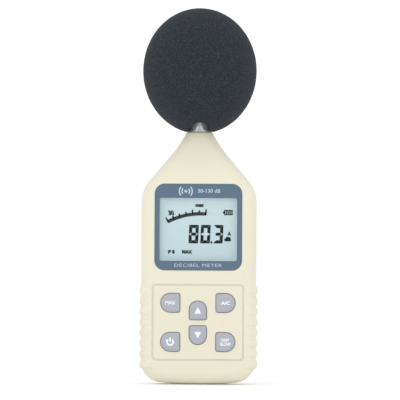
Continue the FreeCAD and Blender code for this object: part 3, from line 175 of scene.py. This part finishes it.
def metal(name, colour, roughness, brushing=(1, 1, 1), scratch=0.3 * MM, metallic=1.0):
    """Bare metal whose fine marks run along one axis, where brushing is small."""
    finish = Finish(name, Metallic=metallic)
    marks = finish.clouds(scratch, 4, finish.stretched(*brushing))
    finish.feed("Base Color", finish.colours(marks, (0.25, shade(colour, 0.9)), (0.75, shade(colour, 1.05))))
    finish.feed("Roughness", finish.between(marks, roughness - 0.05, roughness + 0.08, 0.3, 0.7))
    finish.relief(marks, 0.002 * MM)
    return finish.material


def clear(name, tint, alpha, roughness):
    """A clear pane: what is behind it shows, with a faint tint and the gloss of its face."""
    finish = Finish(name, Alpha=alpha, IOR=1.49)
    smears = finish.clouds(14 * MM, 3)
    finish.feed("Base Color", finish.colours(smears, (0.3, shade(tint, 0.96)), (0.7, tint)))
    finish.feed("Roughness", finish.between(smears, roughness, roughness + 0.05, 0.4, 0.8))
    return finish.material


def display_film():
    """The pale blue polariser over the liquid crystal, with a painted glow that lifts the shade the window's
    edges cast on it.
    """
    painted_glow = srgb(200, 222, 228) + (1.0,)
    # painted light: an even glow from the film itself, though no lamp lights it, to wash out the shade near
    # the window's edges
    finish = Finish("lcd_film", Specular_IOR_Level=0.3, Emission_Color=painted_glow, Emission_Strength=0.35)
    low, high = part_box("lcd_polariser")
    # the film is lighter towards the top
    height = finish.between(finish.along("Z"), 0.0, 1.0, low.z, high.z)
    mottle = finish.combine("MULTIPLY", finish.clouds(18 * MM, 2), 0.25)
    tone = finish.combine("ADD", finish.combine("MULTIPLY", height, 0.75), mottle)
    finish.feed("Base Color", finish.colours(tone, (0.1, srgb(172, 192, 198)), (0.9, srgb(184, 200, 205))))
    finish.feed("Roughness", finish.between(finish.clouds(0.3 * MM, 2), 0.32, 0.46))
    finish.relief(finish.clouds(0.25 * MM, 2), 0.004 * MM)
    return finish.material


def circuit_board():
    """Green solder mask over copper tracks and pads."""
    finish = Finish("circuit_board", Coat_Weight=0.4, Coat_Roughness=0.2)
    tracks = finish.cells(4.5 * MM, "DISTANCE_TO_EDGE", place=finish.stretched(1, 0.2, 1.3))
    finish.feed("Base Color", finish.colours(tracks, (0.0, srgb(52, 128, 78)), (0.07, srgb(46, 118, 70)),
                                             (0.09, srgb(18, 72, 42)), (1.0, srgb(15, 64, 38))))
    finish.feed("Roughness", finish.between(finish.clouds(2 * MM), 0.25, 0.42))
    finish.relief(tracks, 0.03 * MM, 0.5)
    return finish.material


def foam_plastic(name, colour, cell):
    """Open-cell foam: painted shade darkens the pores and painted light brightens the ribs round them, with
    no gloss and a soft bloom at its edge.
    """
    finish = Finish(name, Roughness=0.95, Specular_IOR_Level=0.1, Sheen_Weight=0.05, Sheen_Roughness=0.5)
    # painted shade and light: darker near each cell's middle, where a pore's shade falls, and lighter at the
    # ribs between cells
    pores = finish.cells(cell)
    flecks = finish.clouds(cell * 0.45, 3)
    tone = finish.combine("ADD", finish.combine("MULTIPLY", pores, 0.75),
                          finish.combine("MULTIPLY", flecks, 0.4))
    finish.feed("Base Color", finish.colours(tone, (0.22, shade(colour, 0.6)), (0.55, colour),
                                             (0.85, shade(colour, 1.6))))
    finish.relief(tone, 0.35 * cell)
    return finish.material


def battery_jacket():
    """A printed film over the steel can: a blue sleeve with a pale band at one end."""
    finish = Finish("battery_can", Coat_Weight=0.6, Coat_Roughness=0.15)
    cell_low, cell_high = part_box("battery_2")
    share = finish.between(finish.along("Z"), 0.0, 1.0, cell_low.z, cell_high.z)
    steel, sleeve, band = srgb(190, 192, 196), srgb(38, 84, 150), srgb(214, 218, 222)
    finish.feed("Base Color", finish.colours(share, (0.0, steel), (0.03, band), (0.2, band), (0.21, sleeve),
                                             (0.97, sleeve), (0.98, steel)))
    finish.feed("Metallic", finish.between(finish.clouds(3 * MM), 0.3, 0.5))
    finish.feed("Roughness", finish.between(finish.clouds(5 * MM), 0.22, 0.36))
    finish.relief(finish.clouds(1.5 * MM), 0.02 * MM)
    return finish.material


def ink(name, colour, roughness=0.5):
    """A printed or etched mark, with the slight unevenness of a thin coat."""
    finish = Finish(name, Specular_IOR_Level=0.2)
    coat = finish.clouds(0.6 * MM, 3)
    finish.feed("Base Color", finish.colours(coat, (0.3, shade(colour, 0.9)), (0.7, shade(colour, 1.06))))
    finish.feed("Roughness", finish.between(coat, roughness - 0.08, roughness + 0.08, 0.3, 0.7))
    finish.relief(coat, 0.002 * MM)
    return finish.material


CASE = case_plastic()
LABEL = moulded("label_plastic", srgb(82, 103, 123), 0.42, grain=0.25 * MM, depth=0.006 * MM)
WINDOW = clear("clear_window", srgb(70, 80, 88), 0.07, 0.03)
FILM = display_film()
GLASS = clear("lcd_glass", srgb(200, 225, 222), 0.35, 0.05)
BLACK = moulded("black_plastic", srgb(40, 41, 44), 0.42)
WHITE = moulded("white_plastic", srgb(226, 225, 218), 0.45)
BLUE = moulded("blue_plastic", srgb(42, 86, 165), 0.35)
KEY = moulded("key_plastic", srgb(167, 170, 180), 0.46, grain=0.3 * MM, depth=0.01 * MM)
SILICONE = moulded("silicone", srgb(150, 152, 156), 0.65, grain=0.5 * MM)
BOARD = circuit_board()
STEEL = metal("steel", srgb(196, 198, 202), 0.3)
CHROME = metal("chrome", srgb(216, 217, 220), 0.24, brushing=(1, 1, 8), metallic=0.65)
NICKEL = metal("capsule_metal", srgb(190, 191, 192), 0.3, brushing=(1, 1, 8))
ALUMINIUM = metal("aluminium", srgb(206, 208, 212), 0.35)
BRASS = metal("brass", srgb(206, 172, 104), 0.28, brushing=(1, 8, 1))
BATTERY = battery_jacket()
WIRE = moulded("wire_red", srgb(178, 42, 34), 0.5, grain=0.5 * MM)
PLATE = moulded("plate_print", srgb(214, 214, 208), 0.4, grain=0.3 * MM, depth=0.005 * MM)
STRIP = foam_plastic("grey_foam", srgb(82, 84, 88), 0.8 * MM)
FOAM = foam_plastic("foam", srgb(43, 48, 53), 0.75 * MM)
SEGMENT = ink("segment_ink", srgb(12, 14, 18), 0.45)
WHITE_INK = ink("white_ink", srgb(236, 240, 243))
PALE_INK = ink("pale_ink", srgb(186, 199, 212))
DARK_INK = ink("dark_ink", srgb(52, 56, 64))

WEARERS = {
    "case_plastic": CASE, "label_plastic": LABEL, "clear_window": WINDOW, "lcd_film": FILM,
    "lcd_glass": GLASS, "black_plastic": BLACK, "white_plastic": WHITE, "blue_plastic": BLUE,
    "key_plastic": KEY, "silicone": SILICONE, "circuit_board": BOARD, "steel": STEEL,
    "chrome": CHROME, "capsule_metal": NICKEL, "aluminium": ALUMINIUM, "brass": BRASS,
    "battery_can": BATTERY, "wire_red": WIRE, "plate_print": PLATE, "grey_foam": STRIP, "foam": FOAM,
}
for subpart in frame["record"]["subparts"]:
    for material_slot in frame["nodes"][subpart["node"]].material_slots:
        material_slot.material = WEARERS[subpart["material_slot"]]


# ---------------------------------------------------------------- shapes

def piece(name, mesh, material, body):
    """A new piece of the object, which moves with that body."""
    mesh.materials.clear()
    mesh.materials.append(material)
    item = bpy.data.objects.new(name, mesh)
    bpy.context.scene.collection.objects.link(item)
    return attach(item, body)


def final_mesh(item):
    """An object's mesh with its modifiers applied. The object itself is removed."""
    shown = item.evaluated_get(bpy.context.evaluated_depsgraph_get())
    mesh = bpy.data.meshes.new_from_object(shown)
    bpy.data.objects.remove(item)
    return mesh


def plates(outlines, front, thickness):
    """Closed flat plates that face -Y, one for each ring of (x, z) points."""
    shape = bmesh.new()
    for outline in outlines:
        near = [shape.verts.new((x, front, z)) for x, z in outline]
        far = [shape.verts.new((x, front + thickness, z)) for x, z in outline]
        shape.faces.new(near)
        shape.faces.new(far[::-1])
        for one in range(len(outline)):
            after = (one + 1) % len(outline)
            shape.faces.new((near[one], far[one], far[after], near[after]))
    bmesh.ops.recalc_face_normals(shape, faces=shape.faces)
    mesh = bpy.data.meshes.new("plates")
    shape.to_mesh(mesh)
    shape.free()
    return mesh


def bar(start, end, width):
    """The outline of a straight bar between two (x, z) points."""
    along = Vector(end) - Vector(start)
    side = Vector((-along.y, along.x)).normalized() * width / 2
    return [tuple(Vector(start) + side), tuple(Vector(end) + side),
            tuple(Vector(end) - side), tuple(Vector(start) - side)]


def arc(centre, inner, outer, start, end, steps=16):
    """The outline of part of a ring. Angles are in degrees, anticlockwise from +X."""
    turns = [math.radians(start + (end - start) * step / steps) for step in range(steps + 1)]
    far = [(centre[0] + outer * math.cos(t), centre[1] + outer * math.sin(t)) for t in turns]
    near = [(centre[0] + inner * math.cos(t), centre[1] + inner * math.sin(t)) for t in turns]
    return far + near[::-1]


def letters(words, centre, width, height, front, thickness, slant=0.0, bold=0.0, spacing=1.0):
    """Flat closed letters that face -Y, fitted to a width and a height about an (x, z) point."""
    text = bpy.data.curves.new("letters", "FONT")
    text.body = words
    text.align_x = "CENTER"
    text.extrude = 0.1
    text.offset = bold
    text.shear = slant
    text.space_character = spacing
    text.space_line = 0.95
    text.resolution_u = 3
    item = bpy.data.objects.new("letters", text)
    bpy.context.scene.collection.objects.link(item)
    mesh = final_mesh(item)
    low = Vector(map(min, *(v.co for v in mesh.vertices)))
    high = Vector(map(max, *(v.co for v in mesh.vertices)))
    middle = (low + high) / 2
    scale = (width / (high.x - low.x), height / (high.y - low.y), thickness / (high.z - low.z))
    for vertex in mesh.vertices:
        across, up, out = ((vertex.co[i] - middle[i]) * scale[i] for i in range(3))
        vertex.co = (centre[0] + across, front + thickness / 2 - out, centre[1] + up)
    return mesh


def joined(*meshes):
    """Several meshes as one."""
    shape = bmesh.new()
    for mesh in meshes:
        shape.from_mesh(mesh)
    mesh = bpy.data.meshes.new("joined")
    shape.to_mesh(mesh)
    shape.free()
    return mesh


def smooth(mesh):
    for face in mesh.polygons:
        face.use_smooth = True
    return mesh


# ---------------------------------------------------------------- display

INK = 0.05 * MM                           # how thick a printed mark is
SEGMENT_LIFT = 0.08 * MM                  # how far the segments stand off the polariser
DIGIT = (5.4 * MM, 10.3 * MM)             # width and height of a figure
STROKE = 1.75 * MM
SEGMENT_GAP = 0.06 * MM
SLANT = math.tan(math.radians(2.5))
# each bar's ends, in widths and half heights, and the side that is on the figure's outline
SEGMENTS = {
    "top": ((0, 2), (1, 2), (0, 1)), "middle": ((0, 1), (1, 1), None), "bottom": ((0, 0), (1, 0), (0, -1)),
    "upper_left": ((0, 1), (0, 2), (-1, 0)), "upper_right": ((1, 1), (1, 2), (1, 0)),
    "lower_left": ((0, 0), (0, 1), (-1, 0)), "lower_right": ((1, 0), (1, 1), (1, 0)),
}
UNLIT = {"8": (), "0": ("middle",), "3": ("upper_left", "lower_left")}
FIGURES = {"8": -5.6 * MM, "0": 1.0 * MM, "3": 8.1 * MM}     # each figure and its left edge
FIGURES_LOW = 78.8 * MM
POINT = ((6.75 * MM, 79.4 * MM), (7.75 * MM, 79.4 * MM))
POINT_HEIGHT = 1.2 * MM

SCALE_CENTRE = (1.3 * MM, 55.4 * MM)
SCALE_RADIUS = 39.9 * MM
SCALE_TURN = (117.4, 86.0)                # from the left end to the right end, in degrees
SCALE_HALF = 0.95 * MM                    # half the width of the arc
SCALE_BLOCKS = 30
BLOCK_GAP = 0.04                          # at each end of a block, as a share of its pitch
SCALE_DIVISIONS = 6
LONG_TICKS = (0, 4, SCALE_DIVISIONS)
TICK_LONG = 2.6 * MM
TICK_SHORT = 1.9 * MM
TICK_WIDTH = 0.85 * MM
END_TICK_DROP = 0.7 * MM                  # the ticks at both ends start that much lower


def segment(start, end, outward):
    """The outline of one bar of a figure: mitred at the corners, pointed where three bars meet."""
    width, height, half = DIGIT[0] - STROKE, DIGIT[1] - STROKE, STROKE / 2
    a, b = (Vector((half + x * width, half + z * height / 2)) for x, z in (start, end))
    along = (b - a).normalized()
    a, b = a + along * SEGMENT_GAP, b - along * SEGMENT_GAP
    if outward is None:
        side = Vector((-along.y, along.x)) * half
        a_in, b_in = a + along * half, b - along * half
        return [a, a_in + side, b_in + side, b, b_in - side, a_in - side]
    side = Vector(outward) * half
    before = 0 if start[1] == 1 else half
    after = 0 if end[1] == 1 else half
    return [a - along * before + side, b + along * after + side, b - along * half - side,
            a + along * half - side]


def digit(figure, left, low):
    """The lit bars of a seven-segment figure, which leans a little."""
    outlines = []
    for name, place in SEGMENTS.items():
        if name not in UNLIT[figure]:
            outlines.append([(left + p.x + p.y * SLANT, low + p.y) for p in segment(*place)])
    return outlines


def scale_marks():
    """The bar scale: a thick arc of small blocks, with tick marks above it."""
    start, end = SCALE_TURN
    pitch = (end - start) / SCALE_BLOCKS
    outlines = [arc(SCALE_CENTRE, SCALE_RADIUS - SCALE_HALF, SCALE_RADIUS + SCALE_HALF,
                    start + pitch * (n + BLOCK_GAP), start + pitch * (n + 1 - BLOCK_GAP), 2)
                for n in range(SCALE_BLOCKS)]
    for n in range(SCALE_DIVISIONS + 1):
        turn = math.radians(start + (end - start) * n / SCALE_DIVISIONS)
        out = Vector((math.cos(turn), math.sin(turn)))
        length = TICK_LONG if n in LONG_TICKS else TICK_SHORT
        drop = END_TICK_DROP if n in (0, SCALE_DIVISIONS) else 0
        foot = Vector(SCALE_CENTRE) + out * (SCALE_RADIUS - drop)
        outlines.append(bar(foot, Vector(SCALE_CENTRE) + out * (SCALE_RADIUS + length), TICK_WIDTH))
    return outlines


def battery_symbol(left, low, width, height, line):
    """An outline cell with a terminal at its left and three bars of charge."""
    right, high = left + width, low + height
    ring = [((left, low), (right, low)), ((left, high), (right, high)),
            ((left, low - line / 2), (left, high + line / 2)),
            ((right, low - line / 2), (right, high + line / 2))]
    outlines = [bar(start, end, line) for start, end in ring]
    middle = (low + high) / 2
    outlines.append(bar((left - 1.5 * line, middle), (left - 0.5 * line, middle), height / 2))
    inset, charge_width = 0.7 * line, 0.18 * width
    for share in (0.25, 0.5, 0.75):
        x = left + share * width
        outlines.append(bar((x, low + inset), (x, high - inset), charge_width))
    return outlines


def display():
    """The dark segments of the liquid crystal, just in front of its polariser."""
    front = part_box("lcd_polariser")[0].y - SEGMENT_LIFT
    figures = [outline for figure, left in FIGURES.items() for outline in digit(figure, left, FIGURES_LOW)]
    figures.append(bar(*POINT, POINT_HEIGHT))
    piece("lcd_figures", plates(figures, front, INK), SEGMENT, "case")
    piece("lcd_scale", plates(scale_marks(), front, INK), SEGMENT, "case")
    signs = joined(
        plates(battery_symbol(14.6 * MM, 94.9 * MM, 4.1 * MM, 2.3 * MM, 0.65 * MM), front, INK),
        letters("30", (-15.4 * MM, 95.7 * MM), 3.6 * MM, 2.8 * MM, front, INK, slant=-0.3, bold=0.06),
        letters("max", (0.7 * MM, 99.9 * MM), 4.9 * MM, 1.7 * MM, front, INK, bold=0.07),
        letters("A", (17.2 * MM, 84.3 * MM), 2.1 * MM, 2.1 * MM, front, INK, bold=0.11),
        letters("dB", (16.3 * MM, 81.2 * MM), 3.9 * MM, 2.5 * MM, front, INK, bold=0.08),
        letters("F S", (-15.0 * MM, 74.0 * MM), 3.8 * MM, 2.1 * MM, front, INK, bold=0.07),
        letters("MAX", (-6.2 * MM, 74.0 * MM), 5.8 * MM, 2.1 * MM, front, INK, bold=0.075))
    piece("lcd_signs", signs, SEGMENT, "case")


# ---------------------------------------------------------------- prints

def sound_waves(centre, size):
    """A dot with two arcs on each side of it."""
    dot, rings, half_line = 0.16, (0.42, 0.72), 0.07        # radii, as shares of the size
    spread = 42                                             # half of what an arc spans, in degrees
    turns = 20
    outlines = [arc(centre, 0, dot * size, 0, 359.9, turns)[:-turns - 1]]
    for side in (0, 180):
        for ring in rings:
            outlines.append(arc(centre, (ring - half_line) * size, (ring + half_line) * size,
                                side - spread, side + spread, 12))
    return outlines


def label_prints():
    """The pale print on the blue-grey frame round the window: a sign, the range and a title."""
    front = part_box("label_frame")[0].y - INK
    piece("label_sign", plates(sound_waves((-7.1 * MM, 107.9 * MM), 5.0 * MM), front, INK), PALE_INK, "case")
    words = joined(
        letters("30-130 dB", (5.9 * MM, 108.1 * MM), 12.6 * MM, 2.1 * MM, front, INK, bold=0.02),
        letters("DECIBEL METER", (0, 66.6 * MM), 26.5 * MM, 1.8 * MM, front, INK, spacing=1.1))
    piece("label_words", words, PALE_INK, "case")


def power_mark(centre, radius):
    """A ring open at the top with a bar in the gap."""
    x, z = centre
    line = 0.9 * MM
    ring = arc(centre, radius - line / 2, radius + line / 2, 130, 410, 28)
    return [ring, bar((x, z + 0.1 * MM), (x, z + radius + 0.7 * MM), line)]


def arrow_mark(centre, width, height, up):
    """A solid triangle that points up or down."""
    x, z = centre
    tip = height / 2 if up else -height / 2
    return [[(x - width / 2, z - tip), (x, z + tip), (x + width / 2, z - tip)]]


POWER_RADIUS = 1.75 * MM
ARROW = (3.8 * MM, 3.6 * MM)              # width and height
# what each of the other keys says, with the width and height of its words
KEY_WORDS = {
    "key_max": ("MAX", 5.7 * MM, 2.1 * MM),
    "key_weighting": ("A/C", 5.0 * MM, 2.1 * MM),
    "key_response": ("FAST\nSLOW", 5.8 * MM, 4.0 * MM),
}


def key_marks():
    """The white mark on the face of each key, which moves with it."""
    for name in ("key_max", "key_weighting", "key_up", "key_down", "key_power", "key_response"):
        low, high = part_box(name)
        middle = ((low.x + high.x) / 2, (low.z + high.z) / 2)
        front = low.y - INK
        if name == "key_power":
            mesh = plates(power_mark(middle, POWER_RADIUS), front, INK * 2)
        elif name in ("key_up", "key_down"):
            mesh = plates(arrow_mark(middle, *ARROW, name == "key_up"), front, INK * 2)
        else:
            mesh = letters(KEY_WORDS[name][0], middle, *KEY_WORDS[name][1:], front, INK * 2, bold=0.04)
        piece(name + "_mark", mesh, WHITE_INK, name + "_cap")


PLATE_TEXT = "RANGE 30-130 dB\nPOWER 4 x 1.5 V AAA\nEXTERNAL 6 V DC"
PLATE_TEXT_SIZE = (31 * MM, 14 * MM)


def plate_words():
    """Plain facts on the plate on the back. The letters are turned to face +Y."""
    low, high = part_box("rear_plate")
    back = high.y + INK
    mesh = letters(PLATE_TEXT, (0, (low.z + high.z) / 2), *PLATE_TEXT_SIZE, -back, INK * 2)
    mesh.transform(Matrix.Rotation(math.pi, 4, "Z"))
    piece("rear_plate_words", mesh, DARK_INK, "case")


# ---------------------------------------------------------------- springs and soft parts

PLATE_THICK = 0.3 * MM
PLATE_HALF = 4.6 * MM                     # half the width of a spring's plate
WIRE_RADIUS = 0.33 * MM
COIL_WIDE = 3.4 * MM                      # radius at the plate
COIL_NARROW = 2.3 * MM                    # radius at the cell
COIL_TURNS = 5
TURN_POINTS = 20
FLAT_END = 0.08                           # share of the wire that lies flat at each end


def coil(name, centre, start, end):
    """A conical spring of round wire, wound about a vertical line from its wide end."""
    curve = bpy.data.curves.new(name, "CURVE")
    curve.dimensions = "3D"
    curve.bevel_depth = WIRE_RADIUS
    curve.bevel_resolution = 2
    curve.use_fill_caps = True
    spline = curve.splines.new("POLY")
    steps = COIL_TURNS * TURN_POINTS
    spline.points.add(steps)
    for step, point in enumerate(spline.points):
        share = step / steps
        turn = 2 * math.pi * COIL_TURNS * share
        radius = COIL_WIDE + (COIL_NARROW - COIL_WIDE) * share
        rise = min(1, max(0, share * (1 + 2 * FLAT_END) - FLAT_END))
        point.co = (centre[0] + radius * math.cos(turn), centre[1] + radius * math.sin(turn),
                    start + (end - start) * rise, 1)
    item = bpy.data.objects.new(name, curve)
    bpy.context.scene.collection.objects.link(item)
    return smooth(final_mesh(item))


def box_mesh(low, high):
    """A closed box between two corners."""
    shape = bmesh.new()
    bmesh.ops.create_cube(shape, size=1)
    fit = Matrix.Translation((low + high) / 2) @ Matrix.Diagonal((*(high - low), 1))
    bmesh.ops.transform(shape, verts=shape.verts, matrix=fit)
    mesh = bpy.data.meshes.new("box")
    shape.to_mesh(mesh)
    shape.free()
    return mesh


def battery_springs():
    """The sprung plates at the cells' negative ends, with wound wire in place of plain turns."""
    low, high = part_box("contact_springs")
    parts = []
    for number in range(1, 5):
        cell_low, cell_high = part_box(f"battery_{number}")
        centre = ((cell_low.x + cell_high.x) / 2, (cell_low.y + cell_high.y) / 2)
        below = number % 2 == 1
        foot = low.z + PLATE_THICK if below else high.z - PLATE_THICK
        tip = cell_low.z if below else cell_high.z
        out = WIRE_RADIUS if below else -WIRE_RADIUS
        parts.append(coil(f"coil_{number}", centre, foot + out, tip - out))
        outer = foot - PLATE_THICK if below else foot + PLATE_THICK
        parts.append(box_mesh(Vector((centre[0] - PLATE_HALF, low.y, min(foot, outer))),
                              Vector((centre[0] + PLATE_HALF, high.y, max(foot, outer)))))
    item = piece("battery_spring_coils", joined(*parts), STEEL, "case")
    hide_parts("contact_springs")


def remeshed(mesh, voxel):
    """A closed mesh as even quads of about that size."""
    item = bpy.data.objects.new("rough", mesh)
    bpy.context.scene.collection.objects.link(item)
    remesh = item.modifiers.new("even", "REMESH")
    remesh.mode = "VOXEL"
    remesh.voxel_size = voxel
    relax = item.modifiers.new("relax", "SMOOTH")
    relax.factor = 0.5
    relax.iterations = 6
    return final_mesh(item)


PIT_SLOPE = 1.6                           # how fast a pore deepens from its rim
LUMP_CELLS = 6                            # how many pores a soft lump of the skin spans
LUMP_SHARE = 0.25                         # a lump's height, as a share of the pores' depth


def pitted(mesh, cell, depth):
    """Open pores pressed into the skin: each point moves in by how near it is to a cell's middle."""
    normals = [vertex.normal.copy() for vertex in mesh.vertices]
    for vertex, normal in zip(mesh.vertices, normals):
        near = noise.voronoi(vertex.co / cell)[0]
        pit = min(1.0, (near[1] - near[0]) * PIT_SLOPE)
        lump = noise.fractal(vertex.co / (LUMP_CELLS * cell), 1.0, 2.0, 3)
        vertex.co -= normal * (depth * pit + LUMP_SHARE * depth * (1 + lump))
    return mesh


def revolved(profile, steps):
    """A closed solid turned about the Z axis from (radius, z) points that start and end on it."""
    shape = bmesh.new()
    rings = []
    for radius, z in profile:
        if radius == 0:
            rings.append([shape.verts.new((0, 0, z))])
            continue
        turns = [2 * math.pi * step / steps for step in range(steps)]
        rings.append([shape.verts.new((radius * math.cos(t), radius * math.sin(t), z)) for t in turns])
    for one, other in zip(rings, rings[1:]):
        for step in range(steps):
            after = (step + 1) % steps
            corners = [one[step % len(one)], one[after % len(one)], other[after % len(other)],
                       other[step % len(other)]]
            shape.faces.new(list(dict.fromkeys(corners)))
    bmesh.ops.recalc_face_normals(shape, faces=shape.faces)
    mesh = bpy.data.meshes.new("revolved")
    shape.to_mesh(mesh)
    shape.free()
    return mesh


BALL_HALF = 35.2 * MM                     # half the height of the foam ball
BALL_STEPS = 72
BALL_VOXEL = 0.42 * MM
BALL_CELL = 0.95 * MM
BALL_PITS = 0.25 * MM
SKIN = 0.1 * MM                           # added before the pores are pressed in
MOUTH = 7.6 * MM                          # radius of the mouth
BORE_PLAY = 0.35 * MM                     # how far the bore stands off the tube
BORE_END = 181 * MM                       # top of the bore
NOTCH_RISE = 5.3 * MM
NOTCH_HALF = 5.9 * MM


def windscreen():
    """The foam ball over the microphone: an open-celled egg with a notch at its mouth, front and back."""
    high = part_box("windscreen")[1]
    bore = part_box("mic_tube")[1].x + BORE_PLAY
    middle = high.z - BALL_HALF
    mouth_angle = math.acos(MOUTH / high.x)
    outside = []
    for step in range(BALL_STEPS + 1):
        angle = math.pi / 2 - (math.pi / 2 + mouth_angle) * step / BALL_STEPS
        across = (high.x + SKIN) * math.cos(angle)
        outside.append((across if step else 0, middle + (BALL_HALF + SKIN) * math.sin(angle)))
    rim = outside[-1][1]
    inside = [(MOUTH - 0.5 * MM, rim + 0.2 * MM), (bore + 0.5 * MM, rim + 1.4 * MM), (bore, rim + 3 * MM),
              (bore, BORE_END - 2 * MM), (bore - 1.5 * MM, BORE_END - 0.3 * MM), (0, BORE_END)]
    mesh = remeshed(revolved(outside + inside, 96), BALL_VOXEL)
    for vertex in mesh.vertices:
        across = 1 - (vertex.co.x / NOTCH_HALF) ** 2
        if across > 0:
            vertex.co.z = max(vertex.co.z, rim + NOTCH_RISE * math.sqrt(across))
    item = piece("foam_ball", smooth(pitted(mesh, BALL_CELL, BALL_PITS)), FOAM, "foam_screen")
    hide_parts("windscreen")


STRIP_VOXEL = 0.24 * MM
STRIP_CELL = 0.9 * MM
STRIP_PITS = 0.07 * MM
STRIP_FALL = 0.35                         # how much thinner the strip is at its edges, as a share


def door_strip():
    """The foam strip inside the battery door, which keeps the cells from rattling."""
    low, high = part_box("door_pad")
    size, middle = high - low, (low + high) / 2
    mesh = remeshed(box_mesh(low, high), STRIP_VOXEL)
    for vertex in mesh.vertices:
        share = (vertex.co.x - middle.x) / (size.x / 2), (vertex.co.z - middle.z) / (size.z / 2)
        crown = 1 - STRIP_FALL * max(abs(share[0]), abs(share[1])) ** 6
        vertex.co.y = high.y + (vertex.co.y - high.y) * crown
    item = piece("door_foam", smooth(pitted(mesh, STRIP_CELL, STRIP_PITS)), STRIP, "door")
    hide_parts("door_pad")


display()
label_prints()
key_marks()
plate_words()
battery_springs()
windscreen()
door_strip()


# ---------------------------------------------------------------- studio

AIM = Vector((0.4, 0, 103)) * MM          # the point in the middle of the picture
PICTURE_WIDTH = 224 * MM                  # what the picture spans at that point
DISTANCE = 4.0
YAW = math.radians(1.6)
LEAN = math.radians(0.3)

FLOOR_RADIUS = 4
FLOOR_DROP = 0.05 * MM                    # keeps the floor clear of the underside
FLOOR_TONES = (0.84, 0.85)
FLOOR_GLOW = 0.12

ROOM_LIGHT = 1.04
PATCH_LIGHT = 0.12
PATCH_WAY = (-0.18, -0.98, 0)
PATCH_EDGE = (0.955, 0.985)               # cosines between which the room gets dark


def studio_floor():
    """A wide pale floor under the object."""
    shape = bmesh.new()
    bmesh.ops.create_circle(shape, cap_ends=True, segments=64, radius=FLOOR_RADIUS)
    mesh = bpy.data.meshes.new("floor")
    shape.to_mesh(mesh)
    shape.free()
    finish = Finish("floor", Roughness=0.9, Specular_IOR_Level=0.1, Emission_Strength=FLOOR_GLOW)
    paper = finish.clouds(0.3, 3)
    darker, paler = ((tone,) * 3 for tone in FLOOR_TONES)
    finish.feed("Base Color", finish.colours(paper, (0.3, darker), (0.7, paler)))
    mesh.materials.append(finish.material)
    floor = bpy.data.objects.new("floor", mesh)
    floor.location.z = -FLOOR_DROP
    bpy.context.scene.collection.objects.link(floor)


def soft_light(name, place, size, power):
    """A large square light that faces the middle of the object."""
    light = bpy.data.lights.new(name, "AREA")
    light.size = size
    light.energy = power
    lamp = bpy.data.objects.new(name, light)
    lamp.location = place
    lamp.rotation_euler = (AIM - Vector(place)).to_track_quat("-Z", "Y").to_euler()
    bpy.context.scene.collection.objects.link(lamp)


def surroundings():
    """An even white room with a dark patch in front of the object, which gives metal its contrast."""
    world = bpy.data.worlds.new("room")
    world.use_nodes = True
    tree = world.node_tree
    room = tree.nodes["Background"]
    way = tree.nodes.new("ShaderNodeTexCoord")
    facing = tree.nodes.new("ShaderNodeVectorMath")
    facing.operation = "DOT_PRODUCT"
    facing.inputs[1].default_value = Vector(PATCH_WAY).normalized()
    reading = tree.nodes.new("ShaderNodeMapRange")
    reading.inputs["From Min"].default_value = PATCH_EDGE[0]
    reading.inputs["From Max"].default_value = PATCH_EDGE[1]
    reading.inputs["To Min"].default_value = ROOM_LIGHT
    reading.inputs["To Max"].default_value = PATCH_LIGHT
    tree.links.new(way.outputs["Generated"], facing.inputs[0])
    tree.links.new(facing.outputs["Value"], reading.inputs["Value"])
    tree.links.new(reading.outputs["Result"], room.inputs["Strength"])
    room.inputs["Color"].default_value = (1, 1, 1, 1)
    bpy.context.scene.world = world


def camera():
    """A long lens, level with the middle of the object and a little to its right."""
    lens = bpy.data.cameras.new("camera")
    lens.lens = lens.sensor_width * DISTANCE / PICTURE_WIDTH
    lens.clip_start = 0.05
    viewer = bpy.data.objects.new("camera", lens)
    viewer.location = AIM + DISTANCE * Vector((math.sin(YAW), -math.cos(YAW), 0))
    look = (AIM - viewer.location).to_track_quat("-Z", "Y").to_matrix()
    viewer.rotation_euler = (look @ Matrix.Rotation(LEAN, 3, "Z")).to_euler()
    bpy.context.scene.collection.objects.link(viewer)
    bpy.context.scene.camera = viewer


studio_floor()
soft_light("key_light", place=(-0.5, -1.15, 0.45), size=0.5, power=2.15)
soft_light("fill_light", place=(0.8, -0.9, 0.35), size=0.4, power=0.85)
soft_light("top_light", place=(0.0, -0.1, 1.1), size=0.6, power=0.5)
surroundings()
camera()
bpy.context.scene.view_settings.view_transform = "Standard"
